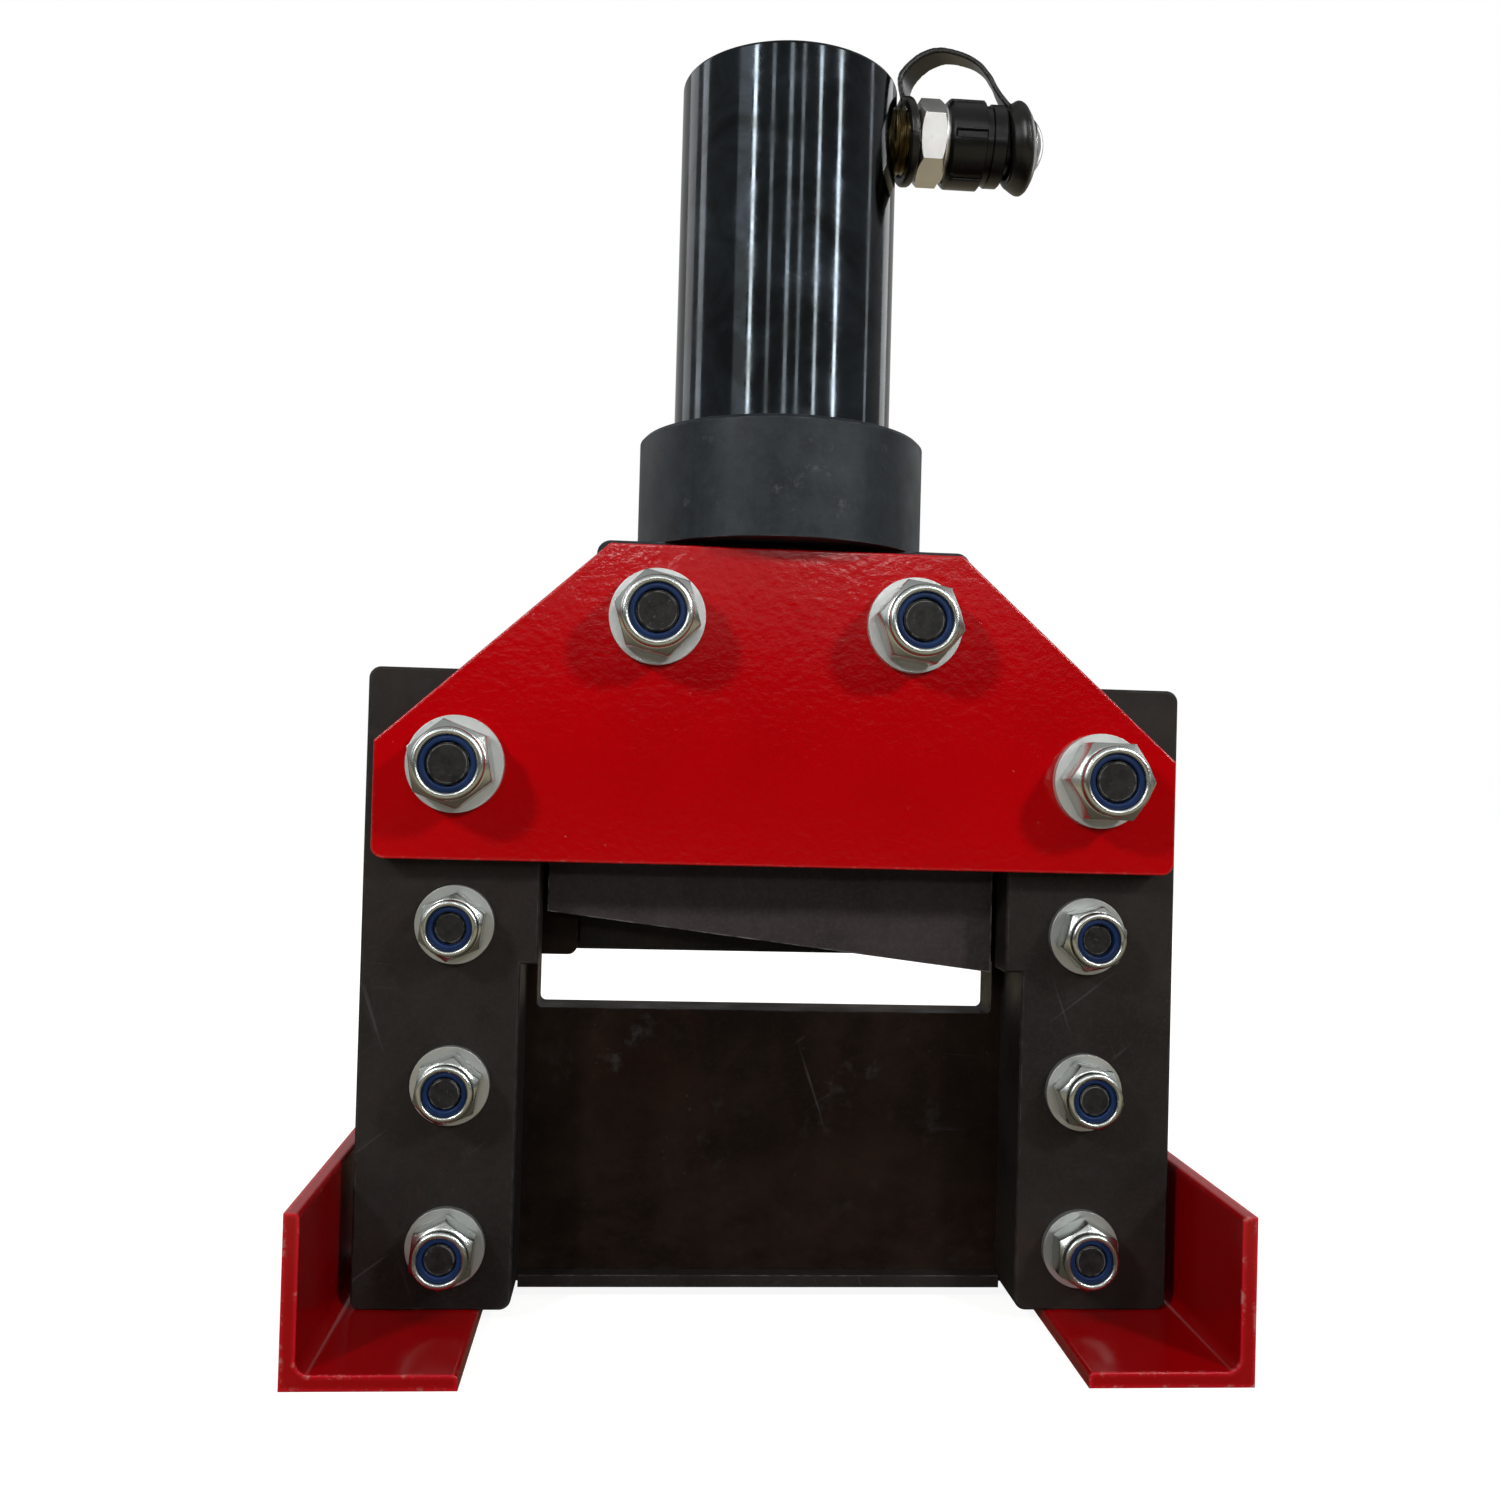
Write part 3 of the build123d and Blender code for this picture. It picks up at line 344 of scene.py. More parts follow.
def enamel_finish(name, level, smooth, peel_depth, edge_reach):
    """Thick red enamel with an orange peel and faint grit under it, a painted highlight of brighter red
    along its edges, and pale pink chipped spots that are partly painted glints.
    """
    colour = scaled(finishes().enamel, level)
    look = Finish(name, scaled(colour, 0.94))
    look.coat(scaled(colour, 1.06), look.patches(14.0, 0.35, 0.7))
    # A painted highlight of brighter red along the edges, standing in for light on them.
    edge = look.edge(edge_reach, 0.15)
    look.coat(finishes().enamel_edge_highlight, edge, 0.8)
    # Pale pink spots along the edges: chipped paint, partly painted glints.
    chipped_and_glinting = look.both(edge, look.patches(260.0, 0.55, 0.65, detail=5.0, roughness=0.7))
    look.coat(PINK_CHIPS_AND_GLINTS, chipped_and_glinting, 0.8)
    grit = look.specks(210.0, 0.08, 0.52, 0.66)
    look.coat(ENAMEL_GRIT, grit, 0.25)
    roughness = look.patches(45.0, 0.3, 0.75, smooth, smooth + 0.05)
    waves = look.noise(150.0, 2.0, 0.4)
    peel = look.noise(400.0, 3.0, 0.6, (1.2, 1.0, 1.0))
    normal = look.bump(waves, 0.25 * peel_depth, 0.3 * MM, look.rounded(0.7 * MM))
    normal = look.bump(peel, peel_depth, 0.14 * MM, normal)
    normal = look.bump(grit, 0.4, 0.1 * MM, normal)
    return look.done(roughness=roughness, normal=normal, specular_ior_level=0.45)


def oxide_finish(
    name, colour, stain=0.3, gloss=0.5, edge_wear_and_shine=0.10, sheen=0.16, grain_run=(1.0, 1.0, 0.07), dust=0.0
):
    """Blackened steel with machining marks, stains and scuffs, pale edges that are partly wear and partly a
    painted highlight, and, where dust is set, painted floor bounce light low down.
    """
    look = Finish(name, scaled(colour, 1 - stain))
    clouds = look.patches(14.0, 0.38, 0.62, detail=5.0, roughness=0.7)
    look.coat(scaled(colour, 1 + 1.6 * stain), clouds)
    rust = look.patches(19.0, 0.54, 0.72, 0.0, stain, detail=5.0, roughness=0.65, distortion=0.5)
    look.coat((colour[0] * 2.2, colour[1] * 1.2, colour[2] * 0.9), rust)
    stains = look.patches(40.0, 0.40, 0.62, 0.0, 1.2 * stain, detail=6.0, roughness=0.75)
    look.coat(scaled(colour, 0.5), stains)
    # dust sets the strength of painted light bounced from the floor, which makes the lower part lighter
    # brown in patches.
    if dust:
        height = look.split(look.place.node.outputs["Generated"])["Z"]
        bounce_share = look.span(height, 0.0, 0.36, dust, 0.0)
        wide = (1.6, 1.0, 1.0)
        bounce_patches = look.patches(26.0, 0.42, 0.60, 0.2, detail=6.0, roughness=0.75, stretch=wide)
        look.coat(FLOOR_BOUNCE_BROWN, look.both(bounce_share, bounce_patches))
    smudges = look.patches(95.0, 0.56, 0.70, 0.0, 0.3 + stain, detail=5.0, roughness=0.7)
    look.coat(GREY_SMUDGE, look.both(smudges, look.patches(17.0, 0.46, 0.62)))
    grain = look.noise(900.0, 3.0, 0.6)
    look.coat(scaled(colour, 2.0), look.span(grain, 0.45, 0.8, 0.0, 0.45))
    for tilt in (4.0, -38.0, 71.0):
        look.coat(BAR_SCRATCH, look.scratches(420.0, tilt, 0.52, 0.66), 0.24)
    look.coat(BAR_SPECK, look.specks(250.0, 0.12, 0.50, 0.66), 0.14)
    # Pale edges in patches: wear, partly a painted highlight where edges catch light.
    rubbed = look.patches(170.0, 0.42, 0.66, detail=4.0)
    look.coat((edge_wear_and_shine, edge_wear_and_shine, edge_wear_and_shine), look.both(look.edge(0.9 * MM, 0.2), rubbed))
    roughness = look.patches(60.0, 0.3, 0.7, gloss - 0.08, gloss + 0.12, detail=4.0)
    marks = look.noise(420.0, 3.0, 0.5, grain_run)
    normal = look.bump(marks, 0.12, 0.05 * MM, look.rounded(0.5 * MM))
    normal = look.bump(grain, 0.18, 0.04 * MM, normal)
    return look.done(roughness=roughness, normal=normal, specular_ior_level=sheen)


def barrel_finish():
    """Polished blue-black steel with faint scratches and oily clouds."""
    colour = finishes().barrel
    look = Finish("polished_barrel", scaled(colour, 0.6))
    clouds = look.patches(38.0, 0.38, 0.64, detail=6.0, roughness=0.7, distortion=0.6)
    look.coat((colour[0] * 1.25, colour[1] * 1.3, colour[2] * 1.45), clouds)
    for tilt in (-52.0, 24.0):
        look.coat(BARREL_SCRATCH, look.scratches(480.0, tilt), 0.5)
    look.coat(BARREL_SPECK, look.specks(260.0, 0.10), 0.5)
    roughness = look.patches(60.0, 0.35, 0.7, 0.05, 0.16, detail=6.0, roughness=0.7)
    turning = look.noise(500.0, 2.0, 0.5, (50.0, 50.0, 1.0))
    normal = look.bump(turning, 0.02, 0.02 * MM)
    return look.done(metallic=1.0, roughness=roughness, normal=normal)


def slate_finish():
    """Satin blackened steel of the collar and head block, with streaks, pale rub marks and pale edges that
    are partly a painted highlight.
    """
    colour = finishes().slate
    look = Finish("satin_slate", scaled(colour, 0.25))
    look.coat(scaled(colour, 1.15), look.patches(26.0, 0.34, 0.68, detail=6.0, roughness=0.7))
    streaks = look.patches(260.0, 0.40, 0.75, 0.0, 0.35, stretch=(1.0, 1.0, 14.0))
    look.coat(scaled(colour, 2.0), streaks)
    grain = look.noise(1100.0, 3.0, 0.65)
    look.coat(scaled(colour, 2.2), look.span(grain, 0.5, 0.85, 0.0, 0.4))
    look.coat(scaled(colour, 2.4), look.patches(140.0, 0.36, 0.64, detail=6.0, roughness=0.8), 0.6)
    look.coat(COLLAR_RUB, look.patches(95.0, 0.60, 0.72, 0.0, 0.4, detail=6.0, roughness=0.75))
    # Pale edges in patches: wear, partly a painted highlight on the collar's rim.
    rubbed = look.patches(150.0, 0.40, 0.66, detail=4.0)
    look.coat(COLLAR_EDGE_WEAR_AND_SHINE, look.both(look.edge(0.8 * MM, 0.2), rubbed))
    roughness = look.patches(50.0, 0.3, 0.7, 0.40, 0.55, detail=4.0)
    normal = look.bump(grain, 0.25, 0.05 * MM, look.rounded(0.5 * MM))
    return look.done(metallic=0.1, roughness=roughness, normal=normal, specular_ior_level=0.25)


def bright_finish(name, colour, smooth, grain=0.05, metallic=1.0):
    """Plated or turned metal, clean apart from faint clouds and a few stains."""
    look = Finish(name, scaled(colour, 0.88))
    look.coat(colour, look.patches(90.0, 0.3, 0.7))
    stains = look.patches(260.0, 0.68, 0.78, 0.0, 0.45, detail=4.0, roughness=0.6)
    look.coat(scaled(colour, 0.4), stains)
    roughness = look.patches(170.0, 0.3, 0.7, smooth, smooth + 0.09)
    wrinkles = look.noise(420.0, 3.0, 0.5)
    normal = look.bump(wrinkles, grain, 0.08 * MM, look.rounded(0.3 * MM))
    return look.done(metallic=metallic, roughness=roughness, normal=normal)


def bolt_finish():
    """Blackened bolt steel with dry oil and pale crumbs."""
    colour = finishes().bolt
    look = Finish("blackened_bolt", scaled(colour, 0.45))
    look.coat(scaled(colour, 1.4), look.patches(330.0, 0.34, 0.70, detail=5.0, roughness=0.65))
    crumbs = look.patches(760.0, 0.63, 0.74, 0.0, 0.6, detail=4.0, roughness=0.65)
    look.coat(BOLT_CRUMB, crumbs)
    look.coat(BOLT_EDGE, look.both(look.edge(0.6 * MM, 0.15), look.patches(420.0, 0.40, 0.54)))
    roughness = look.patches(300.0, 0.3, 0.7, 0.38, 0.58)
    pits = look.noise(900.0, 4.0, 0.6)
    normal = look.bump(pits, 0.4, 0.1 * MM, look.rounded(0.3 * MM))
    return look.done(metallic=0.2, roughness=roughness, normal=normal, specular_ior_level=0.2)


def brass_finish(name):
    """Dull brass darkened by oil."""
    colour = finishes().brass
    look = Finish(name, scaled(colour, 0.55))
    look.coat(colour, look.patches(150.0, 0.32, 0.72, detail=4.0, roughness=0.6))
    roughness = look.patches(260.0, 0.3, 0.7, 0.28, 0.46)
    normal = look.bump(look.noise(520.0), 0.1, 0.08 * MM)
    return look.done(metallic=1.0, roughness=roughness, normal=normal)


def moulded_finish(name, colour, smooth, grain_scale=900.0, strength=0.2, sheen=0.5):
    """Moulded rubber, nylon or plastic with a fine grain and rubbed patches."""
    look = Finish(name, scaled(colour, 0.75))
    look.coat(scaled(colour, 1.35), look.patches(120.0, 0.35, 0.72, detail=4.0, roughness=0.6))
    roughness = look.patches(90.0, 0.3, 0.7, smooth, smooth + 0.18)
    grain = look.noise(grain_scale, 3.0, 0.6)
    normal = look.bump(grain, strength, 0.05 * MM)
    return look.done(roughness=roughness, normal=normal, specular_ior_level=sheen)


def dress(material, *nodes):
    """Gives CAD nodes a finish."""
    for name in nodes:
        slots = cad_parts[name].data.materials
        slots.clear()
        slots.append(material)


def lathe(profile, segments, shape=None):
    """Points and faces of a closed profile of (height, radius) pairs turned about the X axis. A radius
    of 0 gives one point. shape(height, radius, turn) may change a radius, as for a hexagon."""
    points = []
    faces = []
    rings = []
    for height, radius in profile:
        if radius == 0.0:
            rings.append([len(points)])
            points.append(Vector((height, 0.0, 0.0)))
            continue
        ring = []
        for step in range(segments):
            turn = math.tau * step / segments
            reach = shape(height, radius, turn) if shape else radius
            ring.append(len(points))
            points.append(Vector((height, reach * math.cos(turn), reach * math.sin(turn))))
        rings.append(ring)
    for ring, follower in zip(rings, rings[1:] + rings[:1]):
        for step in range(segments):
            corners = [
                ring[step % len(ring)],
                ring[(step + 1) % segments % len(ring)],
                follower[(step + 1) % segments % len(follower)],
                follower[step % len(follower)],
            ]
            face = list(dict.fromkeys(corners))
            if len(face) > 2:
                faces.append(face)
    return points, faces


def tube_faces(rows, sides):
    """Faces of a tube made of rows of points, closed at both ends."""
    faces = []
    for row in range(rows - 1):
        start = sides * row
        for step in range(sides):
            other = (step + 1) % sides
            faces.append([start + step, start + other, start + sides + other, start + sides + step])
    faces.append([sides - 1 - step for step in range(sides)])
    faces.append([sides * (rows - 1) + step for step in range(sides)])
    return faces


def coil(span, radius, wire, turns, steps=36, sides=16):
    """Points and faces of a spring along the X axis from 0 to span, by its outer and its wire's radius."""
    mean = radius - wire
    run = span - 2 * wire
    lead = run / (math.tau * turns)
    last = turns * steps
    points = []
    for row in range(last + 1):
        turn = math.tau * row / steps
        out = Vector((0.0, math.cos(turn), math.sin(turn)))
        ahead = Vector((lead, -mean * math.sin(turn), mean * math.cos(turn))).normalized()
        across = ahead.cross(out)
        centre = Vector((wire + run * row / last, 0.0, 0.0)) + out * mean
        for step in range(sides):
            side = math.tau * step / sides
            points.append(centre + (out * math.cos(side) + across * math.sin(side)) * wire)
    return points, tube_faces(last + 1, sides)


def arc(centre, radius, start, stop, steps, rise=1.0):
    """Profile points on an arc, by angles in degrees from the height axis towards larger radius.
    rise stretches it along the height."""
    found = []
    for step in range(steps + 1):
        turn = math.radians(start + (stop - start) * step / steps)
        height = centre[0] + rise * radius * math.cos(turn)
        found.append((height, centre[1] + radius * math.sin(turn)))
    return found


def in_mm(*pairs):
    """Profile points in metres, from points in mm."""
    return [(height * MM, radius * MM) for height, radius in pairs]


def add_piece(name, parts, material, smooth_angle=35.0):
    """A mesh object from pairs of a place and a shape's points and faces. Its faces look outwards
    and are shaded smooth up to an angle in degrees."""
    points = []
    faces = []
    for place, (part_points, part_faces) in parts:
        offset = len(points)
        points.extend(place @ point for point in part_points)
        faces.extend([offset + index for index in face] for face in part_faces)
    mesh = bpy.data.meshes.new(name)
    mesh.from_pydata(points, [], faces)
    shell = bmesh.new()
    shell.from_mesh(mesh)
    bmesh.ops.recalc_face_normals(shell, faces=shell.faces)
    shell.to_mesh(mesh)
    shell.free()
    mesh.polygons.foreach_set("use_smooth", [True] * len(mesh.polygons))
    mesh.set_sharp_from_angle(angle=math.radians(smooth_angle))
    mesh.materials.append(material)
    piece = bpy.data.objects.new(name, mesh)
    bpy.context.scene.collection.objects.link(piece)
    return piece


def smooth_line(knots, steps):
    """A line through knots that turns smoothly at each of them."""
    ends = [knots[0] * 2 - knots[1]] + knots + [knots[-1] * 2 - knots[-2]]
    line = []
    for a, b, c, d in zip(ends, ends[1:], ends[2:], ends[3:]):
        for step in range(steps):
            t = step / steps
            slope = (c - a) * t
            bend = (2 * a - 5 * b + 4 * c - d) * t * t
            twist = (3 * b - a - 3 * c + d) * t ** 3
            line.append(0.5 * (2 * b + slope + bend + twist))
    line.append(knots[-1])
    return line


def weld_rubber(piece, grain):
    """Melts overlapping shells into one skin and smooths it."""
    remesh = piece.modifiers.new("weld", "REMESH")
    remesh.mode = "VOXEL"
    remesh.voxel_size = grain
    remesh.use_smooth_shade = True
    soften = piece.modifiers.new("soften", "SMOOTH")
    soften.iterations = 4
    soften.factor = 0.5
    evaluated = piece.evaluated_get(bpy.context.evaluated_depsgraph_get())
    skin = bpy.data.meshes.new_from_object(evaluated)
    rough = piece.data
    piece.modifiers.clear()
    piece.data = skin
    bpy.data.meshes.remove(rough)


# Lock nuts: radii and the width across flats in mm, where ring and end are the nylon's outside and hole
NUT_MEASURES = {
    "plate": {"bolt": 8.05, "across": 24.0, "rim": 11.2, "ring": 8.7, "end": 6.75},
    "column": {"bolt": 6.05, "across": 19.0, "rim": 9.0, "ring": 6.95, "end": 5.1},
}

# Where each nut sits: X and Z in metres, and how far it is turned in degrees
NUT_PLACES = {
    "plate": (
        (-0.1025, 0.178, 39), (0.1025, 0.178, 59),
        (-0.041, 0.226, 46), (0.041, 0.226, 50),
    ),
    "column": (
        (-0.1025, 0.025, 25), (-0.1025, 0.076, 20), (-0.1025, 0.127, 23),
        (0.1025, 0.025, 30), (0.1025, 0.076, 49), (0.1025, 0.127, 15),
    ),
}


class LockNut:
    """Shape of a lock nut, by its height in metres and its measures in mm."""

    seat_drop = 0.6 * MM
    lip_share = 0.38
    dome_rise = 0.9
    mouth = 0.7 * MM
    mouth_gap = 0.05 * MM

    def __init__(self, height, bolt, across, rim, ring, end):
        self.height = height
        self.bolt = bolt * MM
        self.across = across * MM
        self.rim = rim * MM
        self.ring = ring * MM
        self.end = end * MM
        self.hexagon_top = height - sizes().rim_height
        self.seat = self.hexagon_top - self.seat_drop

    def shell(self):
        """A chamfered hexagon below a rolled rim."""
        slope = math.tan(sizes().nut_chamfer)
        flat = self.across / 2
        corner = self.across / math.sqrt(3)
        top = self.hexagon_top
        foot_rise = (corner - flat) * slope
        rim_drop = (corner - self.rim) * slope

        def shape(height, radius, turn):
            """The hexagon, with a corner at angle 0, inside the cones of its two chamfers."""
            if radius < corner:
                return radius
            side = flat / math.cos(turn % (math.pi / 3) - math.pi / 6)
            return min(side, flat + height / slope, self.rim + (top - height) / slope)

        lip = self.lip_share * (self.rim - self.ring)
        dome = self.rim - self.ring - lip
        crest = self.rim - dome
        profile = [(0.0, self.bolt)]
        profile += [(foot_rise * step / 5, corner) for step in range(6)]
        profile += [(top - rim_drop * (1 - step / 12), corner) for step in range(13)]
        profile += [(top + 0.1 * MM, self.rim - 0.35 * MM), (top + 0.5 * MM, self.rim - 0.1 * MM)]
        profile += arc((self.height - self.dome_rise * dome, crest), dome, 90, 0, 12, self.dome_rise)
        profile += arc((self.height - lip, crest), lip, 0, -75, 4)[1:]
        profile += [(self.seat, self.ring), (self.seat, self.bolt)]
        return lathe(profile, 120, shape)

    def nylon(self):
        """A ring with a rounded mouth round the bolt's end."""
        top = self.height - sizes().ring_depth
        inner = self.end + self.mouth + self.mouth_gap
        profile = [(self.seat, self.end), (self.seat, self.ring)]
        profile += [(top - 0.3 * MM, self.ring), (top, self.ring - 0.5 * MM)]
        profile += arc((top - self.mouth, inner), self.mouth, 0, -90, 6)
        return lathe(profile, 72)


class CUTTER_OT_lock_nuts(bpy.types.Operator):
    """Lock nuts with nylon rings on the clamp plate and the columns"""

    bl_idname = "cutter.lock_nuts"
    bl_label = "Lock Nuts"

    def execute(self, context):
        zinc = bright_finish("zinc_plate", finishes().zinc, smooth=0.2, grain=0.08)
        nylon = moulded_finish(
            "blue_nylon", finishes().nylon, smooth=0.3, grain_scale=700.0, strength=0.12, sheen=0.18
        )
        for kind in NUT_PLACES:
            self.add_nuts(kind, zinc, nylon)
        washer = finishes().washer
        satin = bright_finish("satin_zinc", scaled(washer, 0.76), smooth=0.3, grain=0.16, metallic=0.4)
        dress(satin, "plate_washers")
        dull = bright_finish("dull_zinc", scaled(washer, 0.6), smooth=0.3, grain=0.16, metallic=0.75)
        dress(dull, "column_washers")
        return {"FINISHED"}

    def add_nuts(self, kind, zinc, nylon):
        low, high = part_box(f"{kind}_nuts")
        nut = LockNut(high.y - low.y, **NUT_MEASURES[kind])
        forward = Matrix.Rotation(math.radians(-90), 4, "Z")
        spots = []
        for x, z, turn in NUT_PLACES[kind]:
            place = Matrix.Translation((x, high.y, z))
            spots.append(place @ forward @ Matrix.Rotation(math.radians(turn), 4, "X"))
        shells = [(spot, nut.shell()) for spot in spots]
        piece = add_piece(f"{kind}_lock_nuts", shells, zinc, 25.0)
        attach(piece, "frame")
        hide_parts(f"{kind}_nuts")
        rings = [(spot, nut.nylon()) for spot in spots]
        piece = add_piece(f"{kind}_nylon_rings", rings, nylon, 40.0)
        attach(piece, "frame")
        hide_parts(f"{kind}_nut_inserts")


class CUTTER_OT_bars_and_blades(bpy.types.Operator):
    """Blackened bars, blades, crosshead and strips of the shear frame"""

    bl_idname = "cutter.bars_and_blades"
    bl_label = "Bars and Blades"

    def execute(self, context):
        bars = oxide_finish("black_oxide_bars", finishes().oxide)
        dress(bars, "left_front_bar", "right_front_bar", "left_rear_bar", "right_rear_bar")
        dress(bars, "rear_cross_bar", "base_strip", "crosshead")
        # The fixed blade plate gets painted floor bounce light low down, set by dust.
        fixed = oxide_finish(
            "fixed_blade_steel", finishes().blade, stain=0.6, gloss=0.46, edge_wear_and_shine=0.03, sheen=0.06,
            grain_run=(0.07, 1.0, 1.0), dust=0.9,
        )
        dress(fixed, "fixed_blade_plate")
        moving = oxide_finish(
            "moving_blade_steel", finishes().moving, stain=0.25, gloss=0.46, edge_wear_and_shine=0.3, sheen=0.1,
            grain_run=(1.0, 1.0, 0.03),
        )
        dress(moving, "moving_blade")
        return {"FINISHED"}


class CUTTER_OT_red_enamel(bpy.types.Operator):
    """Red enamel on the clamp plates and the feet"""

    bl_idname = "cutter.red_enamel"
    bl_label = "Red Enamel"

    def execute(self, context):
        plates = enamel_finish("plate_enamel", level=1.0, smooth=0.06, peel_depth=0.7, edge_reach=1.4 * MM)
        dress(plates, "front_plate", "rear_plate")
        # The feet take the enamel at 0.72 of its brightness, painted shade, with a wider painted edge
        # highlight that spreads over their narrow front faces.
        feet = enamel_finish("foot_enamel", level=0.72, smooth=0.17, peel_depth=0.06, edge_reach=2.6 * MM)
        dress(feet, "left_foot", "right_foot")
        return {"FINISHED"}


class CUTTER_OT_cylinder(bpy.types.Operator):
    """Polished barrel, satin collar and head block, and the pieces inside"""

    bl_idname = "cutter.cylinder"
    bl_label = "Cylinder"

    def execute(self, context):
        dress(barrel_finish(), "cylinder_barrel")
        dress(slate_finish(), "cylinder_collar", "head_block")
        bright = bright_finish("bright_steel", finishes().silver, smooth=0.2)
        dress(bright, "ram_rod", "piston", "piston_nut", "ram_pin")
        dress(bright, "return_spring", "check_spring", "check_ball")
        dress(brass_finish("dull_brass"), "rod_gland")
        seals = moulded_finish("seal_rubber", finishes().rubber, smooth=0.5)
        dress(seals, "rod_seal", "rod_wiper", "piston_seal")
        return {"FINISHED"}


class CUTTER_OT_springs(bpy.types.Operator):
    """Return spring and check spring, wound as coils"""

    bl_idname = "cutter.springs"
    bl_label = "Springs"

    def execute(self, context):
        steel = bright_finish("spring_steel", finishes().silver, smooth=0.2)
        upright = Matrix.Rotation(math.radians(-90), 4, "Y")
        level = Matrix.Identity(4)
        size = sizes()
        self.add_spring("return_spring", "ram_slide", upright, size.return_wire, size.return_turns, steel)
        self.add_spring("check_spring", "check_valve_slide", level, size.check_wire, size.check_turns, steel)
        return {"FINISHED"}

    def add_spring(self, node, joint, turn, wire, turns, steel):
        """A spring that stands on its fixed end. The joint is not used."""
        low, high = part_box(node)
        axis = turn @ Vector((1.0, 0.0, 0.0))
        span = (high - low).dot(axis)
        start = (low + high) / 2 - axis * (span / 2)
        wound = coil(span, (high.y - low.y) / 2, wire, turns)
        piece = add_piece(f"{node}_coil", [(Matrix.Translation(start) @ turn, wound)], steel, 60.0)
        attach(piece, "frame")
        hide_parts(node)
        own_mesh(piece)


class CUTTER_OT_bolts(bpy.types.Operator):
    """Blackened bolts and countersunk screws"""

    bl_idname = "cutter.bolts"
    bl_label = "Bolts"

    def execute(self, context):
        steel = bolt_finish()
        dress(steel, "plate_bolts", "column_bolts")
        dress(steel, "foot_screws", "cross_bar_screws", "base_strip_screws", "blade_screws")
        return {"FINISHED"}


class CUTTER_OT_coupler(bpy.types.Operator):
    """Threaded nipple, hexagon coupler and ribbed dust cap with its dome"""

    bl_idname = "cutter.coupler"
    bl_label = "Hose Coupler"

    nipple_bore = 2.6 * MM
    shank_inset = 1.4 * MM
    thread_sunk = 2.0 * MM
    rows_per_turn = 8
    cap_wall = 2.4 * MM
    cap_end = 6.3 * MM
    cap_neck = 9.0 * MM
    ring_gap = 0.5 * MM
    rib_turn = math.radians(21)
    groove_half = 1.35 * MM
    groove_slope = 0.25 * MM
    groove_start = 1.6 * MM
    groove_fade = 0.6 * MM

    def execute(self, context):
        low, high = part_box("port_nipple")
        axis = (low.z + high.z) / 2
        self.add_nipple(low.x, high.x, axis, (high.z - low.z) / 2)
        self.add_cap(axis)
        silver = finishes().silver
        dress(bright_finish("coupler_silver", silver, smooth=0.34, grain=0.3), "coupler_body")
        dress(bright_finish("bright_dome", scaled(silver, 0.7), smooth=0.1, grain=0.02), "cap_dome")
        return {"FINISHED"}

    def add_nipple(self, start, stop, axis, radius):
        pitch = sizes().thread_pitch
        depth = sizes().thread_depth
        span = stop - start
        shank = radius - self.shank_inset
        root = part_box("cylinder_barrel")[1].x - self.thread_sunk - start
        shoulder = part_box("coupler_body")[0].x - start
        rows = self.rows_per_turn * int((shoulder - root) / pitch)

        def thread(height, reach, turn):
            if reach < radius:
                return reach
            part = (height / pitch + turn / math.tau) % 1.0
            return reach - depth * abs(2 * part - 1)

        profile = [(0.0, self.nipple_bore), (0.0, shank), (root, shank)]
        profile += [(root + (shoulder - root) * row / rows, radius) for row in range(rows + 1)]
        profile += [(shoulder, shank), (span, shank), (span, self.nipple_bore)]
        turned = (Matrix.Translation((start, 0.0, axis)), lathe(profile, 64, thread))
        piece = add_piece("threaded_nipple", [turned], brass_finish("nipple_brass"), 60.0)
        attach(piece, "frame")
        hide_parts("port_nipple")

    def add_cap(self, axis):
        low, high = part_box("dust_cap")
        radius = (high.z - low.z) / 2
        whole = high.x - low.x
        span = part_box("strap_cap_ring")[0].x - self.ring_gap - low.x
        bore = radius - self.cap_wall
        depth = span - self.cap_end
        grip = sizes().rib_length
        ribs = sizes().rib_count
        groove = sizes().rib_groove

        def ribbed(height, reach, turn):
            if reach < radius:
                return reach
            part = (turn + self.rib_turn) % (math.tau / ribs) - math.pi / ribs
            aside = abs(part) * radius
            wall = min(1.0, max(0.0, (self.groove_half - aside) / self.groove_slope))
            fade = min(1.0, max(0.0, (height - self.groove_start) / self.groove_fade))
            return reach - groove * wall * fade

        profile = [(0.0, bore), (0.0, radius - 1.2 * MM), (0.9 * MM, radius - 0.3 * MM)]
        profile += [(1.4 * MM + (grip - 1.7 * MM) * step / 12, radius) for step in range(13)]
        profile += [(grip, radius - 0.4 * MM), (grip + 0.3 * MM, radius - 1.7 * MM)]
        profile += [(grip + 2.2 * MM, radius - 1.7 * MM), (grip + 2.7 * MM, radius - 1.1 * MM)]
        profile += [(span - 0.6 * MM, radius - 1.1 * MM), (span, radius - 1.7 * MM)]
        profile += [(span + 0.02 * MM, self.cap_neck), (whole, self.cap_neck), (whole, 0.0)]
        profile += [(depth, 0.0), (depth, bore)]
        turned = (Matrix.Translation((low.x, 0.0, axis)), lathe(profile, 360, ribbed))
        plastic = moulded_finish(
            "moulded_cap", finishes().cap, smooth=0.15, grain_scale=800.0, strength=0.05, sheen=0.3
        )
        piece = add_piece("ribbed_cap", [turned], plastic, 30.0)
        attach(piece, "dust_cap")
        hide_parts("dust_cap")


